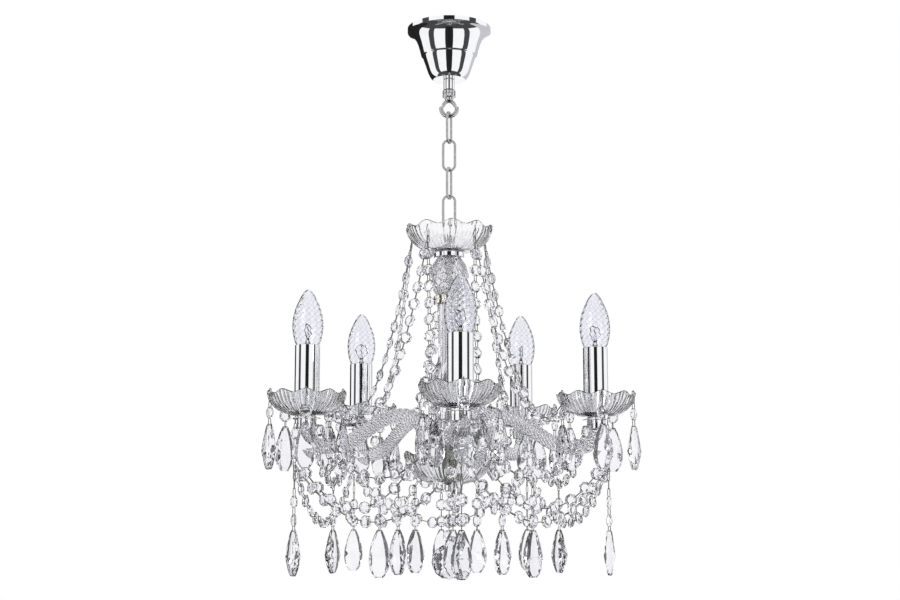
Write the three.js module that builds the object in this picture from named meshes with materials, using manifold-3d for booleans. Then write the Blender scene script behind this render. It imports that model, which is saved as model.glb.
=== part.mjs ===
// A crystal chandelier with five glass arms, hung on a short chain under a ceiling canopy.
// Millimetres, +Z up. The origin is the middle of the ceiling strap's top face,
// so the whole light hangs below it, and each arm points out along X in a turned group.

import * as THREE from 'three';
import { mergeVertices } from 'three/addons/utils/BufferGeometryUtils.js';
import Module from 'manifold-3d';

const wasm = await Module();
wasm.setup();

// Fits shared by all pieces
const clearance = 0.3;
const cutOverrun = 1;
const weldOverlap = 0.8;

// Five arms, the first one a little to the right of the front
const armCount = 5;
const firstArmTurn = THREE.MathUtils.degToRad(4 - 90);
const armStep = (2 * Math.PI) / armCount;

// Canopy, a bell with an open top
const canopyRimRadius = 49.7;
const canopyBottomRadius = 19.3;
const canopyHeight = 63;
const canopyWall = 1.2;
const canopyCeilingGap = 1;
const canopySideShares = [[0, 0], [0.31, 0.26], [0.59, 0.66], [0.79, 0.9], [1, 1]];

// Ceiling strap, screwed to the ceiling inside the canopy
const strapInset = 6.5;
const strapLength = 2 * (canopyRimRadius - canopyWall - strapInset);
const strapWidth = 20;
const strapThickness = 2.5;
const strapScrewHoleRadius = 2.6;
const strapScrewInset = 10;
const strapScrewPlace = strapLength / 2 - strapScrewInset;
const strapBossRadius = 9;
const strapBossDepth = 12;

// Suspension tube: threaded above, a collar under the canopy, a spigot for the eye
const threadRadius = 5;
const collarRadius = 6.65;
const collarHeight = 12.3;
const spigotRadius = 3.5;
const spigotLength = 7.3;

// Hanging eye under a knurled ring
const knurlRadius = 7.9;
const knurlFloor = 1.8;
const knurlHeight = spigotLength + knurlFloor;
const eyeHoleRadius = 6.7;
const eyeWireRadius = 2.9;
const eyeShoulderRadius = 5.2;
const eyeShoulderDrop = 0.5;

// Chain of oval links
const linkCount = 4;
const linkLength = 40;
const linkWidth = 17;
const linkWireRadius = 1.5;
const linkSlit = 0.5;
const linkTurns = [70, 0, 70, 0].map(THREE.MathUtils.degToRad);

// Stem loop and the threaded rod that clamps the stem
const loopRadius = 7.55;
const loopWireRadius = 1.75;
const loopShankRadius = 6.5;
const loopShankLength = 16;
const loopFootRadius = 12;
const loopFootHeight = 2.7;
const loopSocketDepth = 11;
const rodRadius = 4;

// Scalloped glass dishes: the top dish, the bottom bowl and the five bobeches
const scallopCount = 10;
const dishOutlineShares = [[0, 0], [0.56, 0.27], [0.86, 0.6], [1, 1]];
const glassWall = 3;
const dishFloor = 3.5;
const topDishRadius = 51;
const topDishFoot = 18.4;
const topDishDepth = 28;
const topDishScallop = 5;
const bowlFoot = 18;
const bowlDepth = 34;
const bowlScallop = 5;
const bobecheRadius = 44.5;
const bobecheDepth = 24;
const bobecheFloor = 4;
const bobecheScallop = 4;
const scallopReach = 1.2;

// Stem pieces, each with a bore for the rod
const upperCollarRadius = 17.65;
const upperCollarHeight = 5.8;
const ballNeckRadius = 13.6;
const ballRadius = 23;
const ballHeight = 44.6;
const ballBandShares = [[0, 0], [0.55, 0.14], [0.95, 0.34], [1, 0.52], [0.9, 0.7], [0.45, 0.9], [0, 1]];
const lowerCollarRadius = 18;
const lowerCollarHeight = 10;
const lowerCollarGroove = 1.2;
const columnTopRadius = 14;
const columnWaistRadius = 12.5;
const columnBellRadius = 22.5;
const columnFootRadius = 16;
const columnHeightShares = [0, 0.14, 0.34, 0.41, 0.48, 0.6, 0.76, 1];

// Twisted glass arms, drawn in the plane of the arm. The depths are below the ceiling.
const candleCircleRadius = 170;
const armRadius = 8.3;
const armSides = 6;
const armSteps = 16;
const armTwistTurns = 1.5;
const archRadius = 55;
const archDepth = 465;
const dipInset = 24;
const dipRadius = candleCircleRadius - dipInset;
const dipDrop = 37;
const dipDepth = archDepth + dipDrop;
const armEndRise = 19.7;
const armSpanShare = 0.45;

// Arm hub: a plate with five sockets and a boss that stands on the bowl's floor.
// The arms fit in its sockets, the sockets clear the column's foot, and the bowl clears the sockets.
const archRise = 46;
const hubTop = archDepth + archRise;
const hubPlateRadius = 33;
const hubPlateThickness = 4;
const hubBossRadius = 12;
const socketGap = 0.9;
const socketBoreRadius = armRadius + socketGap;
const socketWall = 1.4;
const socketRadius = socketBoreRadius + socketWall;
const socketColumnGap = 3.2;
const socketCircleRadius = columnFootRadius + socketColumnGap + socketRadius;
const socketHeight = 12;
const armRiseRadius = archRise - socketHeight;
const bowlRimRise = 3;
const bowlSocketGap = 12;
const bowlRadius = socketCircleRadius + socketRadius + bowlSocketGap;

// Bottom nut with a ring, and the ball that hangs under it
const nutRadius = 8;
const nutHeight = 8.2;
const nutFloor = 2.6;

// Metal cup glued to the end of each arm
const cupHeight = 14;
const cupTop = dipDepth - armEndRise - cupHeight;
const cupRadius = 10.5;
const eyeletInset = 2.4;
const eyeletCircleRadius = cupRadius + eyeletInset;
const eyeletRadius = 1.4;
const flangeEdge = 2.6;
const flangeRadius = eyeletCircleRadius + flangeEdge;
const flangeDrop = 2.4;
const flangeThickness = 1.4;
const nippleLength = 8.4;
const cupBoreDepth = nippleLength + 2 * clearance;
const innerEyeletTurn = THREE.MathUtils.degToRad(120);

// Candle: sleeve, bulb and lamp holder
const sleeveRadius = 14;
const sleeveWall = 0.8;
const sleeveRise = 7;
const sleeveFootGap = 2;
const bobecheFoot = sleeveRadius + sleeveFootGap;
const bulbCapRadius = 6.8;
const bulbCapHeight = 27;
const bulbCapRise = 3;
const bulbMouthRadius = sleeveRadius - sleeveWall - 2 * clearance;
const bulbBellyRadius = 17.5;
const bulbGlassHeight = 62.7;
const bulbMouthGap = 0.3;
const bulbOutlineShares = [[0.92, 0.16], [1, 0.38], [0.86, 0.63], [0.6, 0.82], [0.29, 0.95], [0, 1]];
const holderFlangeRadius = 9.5;
const holderFlangeHeight = 3;
const holderSleeveGap = 1.9;
const holderRadius = sleeveRadius - sleeveWall - holderSleeveGap;
const holderHeight = 66.7;
const holderTop = cupTop - bobecheFloor - holderHeight - 2 * clearance;
const holderCapGap = 0.7;
const holderBoreRadius = bulbCapRadius + holderCapGap;
const holderBoreDepth = bulbCapHeight - bulbCapRise + clearance;
const sleeveTop = holderTop - sleeveRise;

// Crystals and the strings that carry them
const beadWidth = 14;
const beadThickness = 6;
const beadPitch = 20;
const wireRadius = 0.7;
const almondLength = 50;
const almondWidth = 22;
const almondThickness = 13;
const almondOutlineShares = [[0.12, 0], [0.68, 0.3], [1, 0.64], [0.2, 1]];
const ringRadius = 3;
const ringWireRadius = 0.8;
const pinHeadRadius = 2.2;
const pinHeadHeight = 1.4;
const rimHoleRadius = 1.5;
const dishHoleInset = glassWall + pinHeadRadius + clearance;
const topDishHoleCircle = topDishRadius - dishHoleInset;
const bowlHoleCircle = bowlRadius - dishHoleInset;
const bobecheHoleInset = 2.5;
const bobecheHoleCircle = bobecheRadius - bobecheHoleInset;
const bobecheHoleCount = 5;
const bobecheHoleStep = (2 * Math.PI) / bobecheHoleCount;
const pendantTurns = [-bobecheHoleStep, 0, bobecheHoleStep];
const garlandHoleTurn = 2 * bobecheHoleStep;
const pendantWireDrop = 12;
const pendantBeadGap = 5;
const garlandSag = 85;
const garlandLead = 12;
const garlandTail = 6;
const pinDrop = 2;
const swagDrop = 54.7;
const swagTop = cupTop + swagDrop;
const outerSwagSag = 62;
const innerSwagSag = 62;
const innerSwagDrop = 5;
const radialSwagSag = 52;
const radialSwagLift = 8;
const radialSwagTail = 13;
const swagLead = 5;
const innerRingRadius = 62;
const almondRowDrop = 70;
const almondRowTop = swagTop + almondRowDrop;

// Ball at the foot of the light, its lowest point measured from the nut's ring
const crystalBallRadius = 20;
const crystalBallBottom = 96.3;

// How finely round pieces are drawn
const roundSides = 16;
const candleSides = 12;
const smallSides = 10;
const stringSides = 4;
const ringSteps = 8;
const bendSteps = 6;

// Materials
const chrome = new THREE.MeshStandardMaterial({ color: 0xd9dce2, roughness: 0.08, metalness: 1 });
const steel = new THREE.MeshStandardMaterial({ color: 0x9a9da2, roughness: 0.35, metalness: 1 });
const glass = new THREE.MeshStandardMaterial({ color: 0xe6e8f0, roughness: 0.05, metalness: 0 });
const crystal = new THREE.MeshStandardMaterial({ color: 0xe4e4f4, roughness: 0.03, metalness: 0 });
const holderPlastic = new THREE.MeshStandardMaterial({ color: 0xf1efe8, roughness: 0.5, metalness: 0 });
for (const material of [chrome, steel, glass, crystal, holderPlastic]) material.flatShading = true;

const group = new THREE.Group();
group.name = 'crystal_chandelier';

// Turns a closed geometry into a solid, with its shared corners merged and its faces pointing out.
function solid(geometry) {
  const bare = geometry.index ? geometry.toNonIndexed() : geometry.clone();
  bare.deleteAttribute('normal');
  bare.deleteAttribute('uv');
  const merged = mergeVertices(bare);
  const corners = merged.attributes.position;
  const faces = [];
  let volume = 0;
  const a = new THREE.Vector3();
  const b = new THREE.Vector3();
  const c = new THREE.Vector3();
  for (let i = 0; i < merged.index.count; i += 3) {
    const [p, q, r] = [merged.index.getX(i), merged.index.getX(i + 1), merged.index.getX(i + 2)];
    if (p === q || q === r || r === p) continue;
    a.fromBufferAttribute(corners, p);
    b.fromBufferAttribute(corners, q);
    c.fromBufferAttribute(corners, r);
    volume += a.dot(b.cross(c));
    faces.push([p, q, r]);
  }
  if (volume < 0) for (const face of faces) face.reverse();
  return new wasm.Manifold(new wasm.Mesh({
    numProp: 3,
    vertProperties: new Float32Array(corners.array),
    triVerts: new Uint32Array(faces.flat()),
  }));
}

function union(solids) {
  return solids.reduce((whole, piece) => whole.add(piece));
}

function cutAll(whole, cutters) {
  return cutters.reduce((rest, cutter) => rest.subtract(cutter), whole);
}

// Adds a solid to a parent group as one named piece.
function addPiece(name, whole, material, parent = group) {
  const faces = whole.getMesh();
  const geometry = new THREE.BufferGeometry();
  geometry.setAttribute('position', new THREE.BufferAttribute(faces.vertProperties, faces.numProp));
  geometry.setIndex(new THREE.BufferAttribute(faces.triVerts, 1));
  geometry.computeVertexNormals();
  const mesh = new THREE.Mesh(geometry, material);
  mesh.name = name;
  parent.add(mesh);
  return mesh;
}

// A solid of revolution about Z from [radius, height] points. It starts and ends on the axis
// or, where it has a bore, closes on itself.
function turned(points, sides = roundSides) {
  const outline = points.map(([radius, height]) => new THREE.Vector2(radius, height));
  const onAxis = outline[0].x === 0;
  if (!onAxis) outline.push(outline[0].clone());
  return solid(new THREE.LatheGeometry(outline, sides).rotateX(Math.PI / 2));
}

// An upright rod between two heights.
function rod(radius, low, high, x = 0, y = 0, sides = smallSides) {
  const geometry = new THREE.CylinderGeometry(radius, radius, high - low, sides);
  geometry.rotateX(Math.PI / 2);
  geometry.translate(x, y, (low + high) / 2);
  return solid(geometry);
}

// Skins a row of sections, each with the same number of corners. Flat ends close an open row.
function skin(sections, closed = false) {
  const sides = sections[0].length;
  const corners = sections.flat().flatMap((corner) => [corner.x, corner.y, corner.z]);
  const index = [];
  const rows = closed ? sections.length : sections.length - 1;
  for (let row = 0; row < rows; row += 1) {
    const here = row * sides;
    const next = ((row + 1) % sections.length) * sides;
    for (let side = 0; side < sides; side += 1) {
      const beside = (side + 1) % sides;
      index.push(here + side, here + beside, next + side);
      index.push(here + beside, next + beside, next + side);
    }
  }
  if (!closed) {
    const last = (sections.length - 1) * sides;
    for (let side = 1; side < sides - 1; side += 1) {
      index.push(0, side + 1, side);
      index.push(last, last + side, last + side + 1);
    }
  }
  const geometry = new THREE.BufferGeometry();
  geometry.setAttribute('position', new THREE.Float32BufferAttribute(corners, 3));
  geometry.setIndex(index);
  return solid(geometry);
}

// A section with its corners on an ellipse, across two directions.
function section(centre, across, acrossHalf, along, alongHalf, sides, turn = 0) {
  return Array.from({ length: sides }, (_, side) => {
    const angle = turn + (side / sides) * 2 * Math.PI;
    return centre.clone()
      .addScaledVector(across, Math.cos(angle) * acrossHalf)
      .addScaledVector(along, Math.sin(angle) * alongHalf);
  });
}

// A round wire along a list of points that lie in one plane.
function planarWire(points, planeNormal, radius, sides, closed = false, twist = 0) {
  const count = points.length;
  return skin(points.map((point, i) => {
    const before = points[closed ? (i + count - 1) % count : Math.max(i - 1, 0)];
    const after = points[closed ? (i + 1) % count : Math.min(i + 1, count - 1)];
    const tangent = after.clone().sub(before).normalize();
    const inPlane = new THREE.Vector3().crossVectors(planeNormal, tangent);
    const turn = (twist * i) / (count - 1);
    return section(point, planeNormal, radius, inPlane, radius, sides, turn);
  }), closed);
}

const alongX = new THREE.Vector3(1, 0, 0);
const alongY = new THREE.Vector3(0, 1, 0);
const up = new THREE.Vector3(0, 0, 1);

// Height of the flat at the top and bottom of a small ring, from its centre
const ringFlat = ringRadius * Math.cos(Math.PI / ringSteps);

// A small closed ring of wire around a centre. Its plane holds Z and the given direction.
function wireRing(centre, direction, radius = ringRadius, wire = ringWireRadius) {
  const points = Array.from({ length: ringSteps }, (_, step) => {
    const angle = ((step + 0.5) / ringSteps) * 2 * Math.PI;
    return centre.clone()
      .addScaledVector(direction, Math.cos(angle) * radius)
      .addScaledVector(up, Math.sin(angle) * radius);
  });
  return planarWire(points, new THREE.Vector3().crossVectors(up, direction), wire, stringSides, true);
}

// Rows of a bead string: a thin neck, then the widest line of the bead, and so on.
// Where it has a lead or a tail, the string starts or ends with a bare wire of that length.
function beadRows(curve, lead = 0, tail = 0) {
  const length = curve.getLength();
  const beads = Math.max(Math.round((length - lead - tail) / beadPitch), 1);
  const shares = Array.from({ length: 2 * beads + 1 }, (_, half) => (
    THREE.MathUtils.lerp(lead / length, 1 - tail / length, half / (2 * beads))));
  const rows = shares.map((share, half) => ({
    point: curve.getPointAt(share),
    tangent: curve.getTangentAt(share),
    width: half % 2 === 1 ? beadWidth / 2 : wireRadius,
    depth: half % 2 === 1 ? beadThickness / 2 : wireRadius,
  }));
  const wireEnd = (share) => ({
    ...rows[0], point: curve.getPointAt(share), tangent: curve.getTangentAt(share),
  });
  return [...(lead > 0 ? [wireEnd(0)] : []), ...rows, ...(tail > 0 ? [wireEnd(1)] : [])];
}

// Rows of an upright wire pin through a hole, from its head on the far side to the string.
// The head lies above its face where away is 1 and below it where away is -1.
function pinRows(place, headFace, away) {
  const tangent = new THREE.Vector3(0, 0, -away);
  const row = (z, half) => ({ point: place.clone().setZ(z), tangent, width: half, depth: half });
  return [
    row(headFace + away * pinHeadHeight, pinHeadRadius),
    row(headFace, pinHeadRadius),
    row(headFace, wireRadius),
  ];
}

function reversedRows(rows) {
  return rows.map((row) => ({ ...row, tangent: row.tangent.clone().negate() })).reverse();
}

// Skins the rows of a string. Its beads are thin along the side direction, or along one
// that is turned from it about the string.
function stringSolid(rows, side, turn = 0) {
  return skin(rows.map(({ point, tangent, width, depth }) => {
    const inPlane = new THREE.Vector3().crossVectors(side, tangent);
    const thin = side.clone().multiplyScalar(Math.cos(turn)).addScaledVector(inPlane, Math.sin(turn));
    const wide = new THREE.Vector3().crossVectors(thin, tangent);
    return section(point, thin, depth, wide, width, stringSides);
  }));
}

// The level direction square to the upright plane of a curve.
function sideOf(curve) {
  const first = curve.getPointAt(0);
  const last = curve.getPointAt(1);
  return new THREE.Vector3(last.y - first.y, first.x - last.x, 0).normalize();
}

// A string that hangs plumb from a point down to a depth, then ends in an almond.
// Its crystals are wide along the given direction.
function almondString(top, rowTop, wideDirection, beads, length = almondLength) {
  const facing = new THREE.Vector3(-wideDirection.y, wideDirection.x, 0);
  const beadRun = top.z - rowTop;
  const rows = [{ z: top.z, width: wireRadius, depth: wireRadius }];
  const firstBead = beads.first;
  const pitch = beads.pitch;
  for (let bead = 0; bead < beads.count; bead += 1) {
    const middle = top.z - firstBead - bead * pitch;
    if (bead > 0) rows.push({ z: middle + pitch / 2, width: wireRadius, depth: wireRadius });
    rows.push({ z: middle, width: beadWidth / 2, depth: beadThickness / 2 });
  }
  for (const [widthShare, lengthShare] of almondOutlineShares) {
    rows.push({
      z: top.z - beadRun - lengthShare * length,
      width: (widthShare * almondWidth) / 2,
      depth: (widthShare * almondThickness) / 2,
    });
  }
  return skin(rows.map(({ z, width, depth }) => {
    const centre = new THREE.Vector3(top.x, top.y, z);
    return section(centre, wideDirection, width, facing, depth, stringSides);
  }));
}

// As many beads as fit in a plumb run above an almond, counted up from the almond.
function beadsAbove(run) {
  const count = Math.floor((run - beadWidth / 2) / beadPitch);
  return { first: run - (count - 0.5) * beadPitch, pitch: beadPitch, count };
}

// The hanging curve between two points, sagging by a given drop below the middle of the chord.
function hangingCurve(start, end, sag) {
  const low = start.clone().add(end).multiplyScalar(0.5);
  low.z -= 2 * sag;
  return new THREE.QuadraticBezierCurve3(start, low, end);
}

// The inside of a shell, offset from its outside points by the wall.
function offsetOutline(points, wall) {
  return points.map(([radius, height], i) => {
    const [r0, h0] = points[Math.max(i - 1, 0)];
    const [r1, h1] = points[Math.min(i + 1, points.length - 1)];
    const length = Math.hypot(r1 - r0, h1 - h0);
    return [radius - (wall * (h1 - h0)) / length, height + (wall * (r1 - r0)) / length];
  });
}

// The outside and inside of a dish, as outlines from the foot up to the rim.
function dishOutlines({ radius, foot, depth, bottom, floor }) {
  const outside = dishOutlineShares.map(([r, h]) => [foot + r * (radius - foot), bottom + h * depth]);
  const inside = offsetOutline(outside, glassWall);
  inside[0] = [foot, bottom + floor];
  return { outside, inside };
}

// How far the scallops lift the rim, by radius and by the turn from the first crest.
function rimWave(radius, turn, dish) {
  const weight = Math.max((radius - dish.foot) / (dish.radius - dish.foot), 0) ** 2;
  return (weight * Math.cos(scallopCount * turn)) / 2;
}

// A scalloped glass dish with a bore. Its rim waves up and down between crests and valleys.
function glassDish(dish) {
  const { outside, inside } = dishOutlines(dish);
  const outline = [
    [dish.boreRadius, dish.bottom], ...outside, ...inside.reverse(),
    [dish.boreRadius, dish.bottom + dish.floor],
  ];
  const path = [...outline, outline[0]].map(([r, h]) => new THREE.Vector2(r, h));
  const geometry = new THREE.LatheGeometry(path, 2 * scallopCount).rotateX(Math.PI / 2);
  const places = geometry.attributes.position;
  const corner = new THREE.Vector3();
  for (let i = 0; i < places.count; i += 1) {
    corner.fromBufferAttribute(places, i);
    const r = Math.hypot(corner.x, corner.y);
    const wave = rimWave(r, Math.atan2(corner.y, corner.x), dish);
    const reach = (r + wave * scallopReach) / r;
    places.setXYZ(i, corner.x * reach, corner.y * reach, corner.z + wave * dish.scallop);
  }
  geometry.rotateZ(dish.turn);
  return solid(geometry);
}

// Height of a dish's outside or inside at a radius, with the lift of the scallops there.
function dishHeight(side, radius, turn, dish) {
  const outline = dishOutlines(dish)[side];
  const i = Math.max(outline.findIndex(([r]) => r >= radius), 1);
  const [[r0, h0], [r1, h1]] = [outline[i - 1], outline[i]];
  const height = h0 + ((radius - r0) / (r1 - r0)) * (h1 - h0);
  return height + rimWave(radius, turn, dish) * dish.scallop;
}

// Ceiling strap with its boss and two screw holes
function ceilingStrap() {
  const plate = new THREE.BoxGeometry(strapLength, strapWidth, strapThickness);
  plate.translate(0, 0, -strapThickness / 2);
  const bossBottom = -strapThickness - strapBossDepth;
  const boss = rod(strapBossRadius, bossBottom, -strapThickness / 2);
  const bore = rod(threadRadius + clearance, bossBottom - cutOverrun, -strapThickness);
  const holes = [-strapScrewPlace, strapScrewPlace].map((x) => (
    rod(strapScrewHoleRadius, -strapThickness - cutOverrun, cutOverrun, x)));
  return cutAll(solid(plate).add(boss), [bore, ...holes]);
}
addPiece('ceiling_strap', ceilingStrap(), steel);

// Canopy shell
const canopyBottom = -canopyCeilingGap - canopyHeight;
function canopyShell() {
  const outside = canopySideShares.map(([share, height]) => [
    canopyBottomRadius + (canopyRimRadius - canopyBottomRadius) * share,
    canopyBottom + canopyHeight * height,
  ]);
  const inside = offsetOutline(outside, canopyWall).slice(1).reverse();
  const innerFloor = canopyBottom + canopyWall;
  const bore = threadRadius + clearance;
  return turned([
    [bore, canopyBottom], ...outside, ...inside,
    [canopyBottomRadius - canopyWall, innerFloor], [bore, innerFloor],
  ], roundSides);
}
addPiece('canopy', canopyShell(), chrome);

// Suspension tube, up into the strap's boss and down into the eye's ring
const collarTop = canopyBottom - clearance;
const collarBottom = collarTop - collarHeight;
const spigotBottom = collarBottom - spigotLength;
addPiece('suspension_tube', turned([
  [0, spigotBottom], [spigotRadius, spigotBottom], [spigotRadius, collarBottom],
  [collarRadius, collarBottom], [collarRadius, collarTop], [threadRadius, collarTop],
  [threadRadius, -strapThickness - clearance], [0, -strapThickness - clearance],
], smallSides), chrome);

// Hanging eye
const knurlTop = collarBottom - clearance;
const knurlBottom = knurlTop - knurlHeight;
const eyeRadius = eyeHoleRadius + eyeWireRadius;
const eyeCentre = knurlBottom - eyeShoulderDrop - eyeRadius - eyeWireRadius;
function hangingEye() {
  const ring = rod(knurlRadius, knurlBottom, knurlTop, 0, 0, roundSides);
  const bore = rod(spigotRadius + clearance, knurlBottom + knurlFloor, knurlTop + cutOverrun);
  const neckBottom = eyeCentre + eyeHoleRadius + cutOverrun;
  const neck = rod(eyeShoulderRadius, neckBottom, knurlBottom + knurlFloor / 2);
  const points = Array.from({ length: smallSides }, (_, step) => {
    const angle = ((step + 0.5) / smallSides) * 2 * Math.PI;
    return new THREE.Vector3(Math.cos(angle) * eyeRadius, 0, eyeCentre + Math.sin(angle) * eyeRadius);
  });
  const loop = planarWire(points, alongY, eyeWireRadius, ringSteps, true);
  return union([ring, neck, loop]).subtract(bore);
}
addPiece('hanging_eye', hangingEye(), chrome);

// Chain: each link hangs by its top bend on the bottom bend above it
const linkBend = linkWidth / 2 - linkWireRadius;
const linkSide = linkLength / 2 - linkWidth / 2;
const linkPitch = linkLength - 4 * linkWireRadius - clearance;
const firstLinkTop = eyeCentre - eyeHoleRadius + clearance + 2 * linkWireRadius;
function chainLink() {
  const points = [new THREE.Vector3(linkBend, 0, linkSlit / 2)];
  for (const end of [1, -1]) {
    for (let step = 0; step <= bendSteps; step += 1) {
      const angle = (end > 0 ? 0 : Math.PI) + (step / bendSteps) * Math.PI;
      const x = Math.cos(angle) * linkBend;
      const z = Math.sin(angle) * linkBend + end * linkSide;
      points.push(new THREE.Vector3(x, 0, z));
    }
  }
  points.push(new THREE.Vector3(linkBend, 0, -linkSlit / 2));
  return planarWire(points, alongY, linkWireRadius, bendSteps);
}
for (let link = 0; link < linkCount; link += 1) {
  const piece = addPiece(`chain_link_${link + 1}`, chainLink(), chrome);
  piece.rotation.z = linkTurns[link];
  piece.position.z = firstLinkTop - link * linkPitch - linkLength / 2;
}

// Stem loop, with a socket for the rod and a foot on the dish's floor
const lastLinkBottom = firstLinkTop - (linkCount - 1) * linkPitch - linkLength;
const loopCentre = lastLinkBottom + 2 * linkWireRadius + clearance + loopWireRadius - loopRadius;
const shankTop = loopCentre - loopRadius;
const footBottom = shankTop - loopShankLength;
const dishFloorTop = footBottom - clearance;
const dishBottom = dishFloorTop - dishFloor;
const rodTop = footBottom + loopSocketDepth - clearance;
function stemLoop() {
  const points = Array.from({ length: smallSides }, (_, step) => {
    const angle = ((step + 0.5) / smallSides) * 2 * Math.PI;
    return new THREE.Vector3(0, Math.cos(angle) * loopRadius, loopCentre + Math.sin(angle) * loopRadius);
  });
  const loop = planarWire(points, alongX, loopWireRadius, bendSteps, true);
  const shank = rod(loopShankRadius, footBottom, shankTop);
  const foot = rod(loopFootRadius, footBottom, footBottom + loopFootHeight);
  const socket = rod(rodRadius + clearance, footBottom - cutOverrun, footBottom + loopSocketDepth);
  return union([loop, shank, foot]).subtract(socket);
}
addPiece('stem_loop', stemLoop(), chrome);

// Holes for the wire pins, through the rim of a dish
function rimHoles(circle, turns, dish) {
  return turns.map((turn) => rod(
    rimHoleRadius, dish.bottom, dish.bottom + dish.depth + dish.scallop,
    Math.cos(turn) * circle, Math.sin(turn) * circle, bendSteps));
}

const betweenTurns = Array.from({ length: armCount }, (_, arm) => firstArmTurn + (arm + 0.5) * armStep);
const armTurns = Array.from({ length: armCount }, (_, arm) => firstArmTurn + arm * armStep);
const rodBore = rodRadius + clearance;

// Top dish
const topDish = {
  radius: topDishRadius, foot: topDishFoot, depth: topDishDepth, bottom: dishBottom, floor: dishFloor,
  boreRadius: rodBore, scallop: topDishScallop, turn: firstArmTurn,
};
addPiece('top_dish', cutAll(
  glassDish(topDish), rimHoles(topDishHoleCircle, betweenTurns, topDish)), glass);

// Stem stack: collar, ball, collar, column
const upperCollarTop = dishBottom - clearance;
const upperCollarBottom = upperCollarTop - upperCollarHeight;
addPiece('upper_collar', turned([
  [rodBore, upperCollarBottom], [upperCollarRadius, upperCollarBottom],
  [upperCollarRadius, upperCollarTop], [rodBore, upperCollarTop],
]), chrome);

const stemBallTop = upperCollarBottom - clearance;
const stemBallBottom = stemBallTop - ballHeight;
addPiece('stem_ball', turned([
  [rodBore, stemBallTop],
  ...ballBandShares.map(([share, height]) => [
    ballNeckRadius + (ballRadius - ballNeckRadius) * share, stemBallTop - height * ballHeight]),
  [rodBore, stemBallBottom],
], smallSides), glass);

const lowerCollarTop = stemBallBottom - clearance;
const lowerCollarBottom = lowerCollarTop - lowerCollarHeight;
const lowerCollarMiddle = (lowerCollarTop + lowerCollarBottom) / 2;
addPiece('lower_collar', turned([
  [rodBore, lowerCollarBottom], [lowerCollarRadius, lowerCollarBottom],
  [lowerCollarRadius, lowerCollarMiddle - lowerCollarGroove / 2],
  [lowerCollarRadius - lowerCollarGroove, lowerCollarMiddle],
  [lowerCollarRadius, lowerCollarMiddle + lowerCollarGroove / 2],
  [lowerCollarRadius, lowerCollarTop], [rodBore, lowerCollarTop],
]), chrome);

const columnTop = lowerCollarBottom - clearance;
const columnBottom = -hubTop + clearance;
const columnRadii = [
  columnTopRadius, (columnTopRadius + columnWaistRadius) / 2, columnWaistRadius,
  (columnWaistRadius + columnBellRadius) / 2, columnBellRadius,
  (columnBellRadius + columnFootRadius) / 2, columnFootRadius, columnFootRadius,
];
addPiece('stem_column', turned([
  [rodBore, columnTop],
  ...columnRadii.map((radius, i) => [
    radius, columnTop + (columnBottom - columnTop) * columnHeightShares[i]]),
  [rodBore, columnBottom],
]), glass);

// Bottom bowl under the hub, its floor level with the hub's boss
const hubBottom = -hubTop - hubPlateThickness;
const bowlRim = -hubTop + bowlRimRise;
const bottomBowl = {
  radius: bowlRadius, foot: bowlFoot, depth: bowlDepth, bottom: bowlRim - bowlDepth, floor: dishFloor,
  boreRadius: rodBore, scallop: bowlScallop, turn: firstArmTurn,
};
const bowlFloorTop = bottomBowl.bottom + dishFloor;
addPiece('bottom_bowl', cutAll(
  glassDish(bottomBowl), rimHoles(bowlHoleCircle, armTurns, bottomBowl)), glass);

// Arm hub
function armHub() {
  const plate = rod(hubPlateRadius, hubBottom, -hubTop, 0, 0, roundSides);
  const boss = rod(hubBossRadius, bowlFloorTop + clearance, hubBottom + weldOverlap);
  const bore = rod(rodBore, bowlFloorTop, -hubTop + cutOverrun);
  const socketTop = -hubTop + socketHeight;
  const places = armTurns.map((turn) => [
    Math.cos(turn) * socketCircleRadius, Math.sin(turn) * socketCircleRadius]);
  const sockets = places.map(([x, y]) => rod(socketRadius, hubBottom, socketTop, x, y));
  const socketBores = places.map(([x, y]) => rod(socketBoreRadius, -hubTop, socketTop + cutOverrun, x, y));
  return cutAll(union([plate, boss, ...sockets]), [bore, ...socketBores]);
}
addPiece('arm_hub', armHub(), steel);

// Bottom nut with the ring that carries the crystal ball
const nutTop = bottomBowl.bottom - clearance;
const nutBottom = nutTop - nutHeight;
const nutRingCentre = nutBottom - ringRadius + weldOverlap;
const rodBottom = nutBottom + nutFloor + clearance;
const nutRing = wireRing(new THREE.Vector3(0, 0, nutRingCentre), alongX);
const nutBody = rod(nutRadius, nutBottom, nutTop);
const nutBore = rod(rodBore, nutBottom + nutFloor, nutTop + cutOverrun);
addPiece('bottom_nut', union([nutBody, nutRing]).subtract(nutBore), chrome);

addPiece('stem_rod', rod(rodRadius, rodBottom, rodTop), steel);

// Crystal ball under two beads, its ring through the nut's ring
const ringHang = 2 * ringWireRadius + clearance - ringFlat;
function crystalBall() {
  const pivot = nutRingCentre - ringFlat;
  const ring = wireRing(new THREE.Vector3(0, 0, pivot + ringHang), alongY);
  const ballTop = nutRingCentre - crystalBallBottom + 2 * crystalBallRadius;
  const stringTop = new THREE.Vector3(0, 0, pivot + ringHang - ringRadius + ringWireRadius / 2);
  const string = new THREE.LineCurve3(stringTop, new THREE.Vector3(0, 0, ballTop - weldOverlap));
  const beads = stringSolid(beadRows(string), alongY);
  const ball = new THREE.SphereGeometry(crystalBallRadius, smallSides, ringSteps).rotateX(Math.PI / 2);
  ball.translate(0, 0, ballTop - crystalBallRadius);
  return union([ring, beads, solid(ball)]);
}
addPiece('crystal_ball', crystalBall(), crystal);

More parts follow.
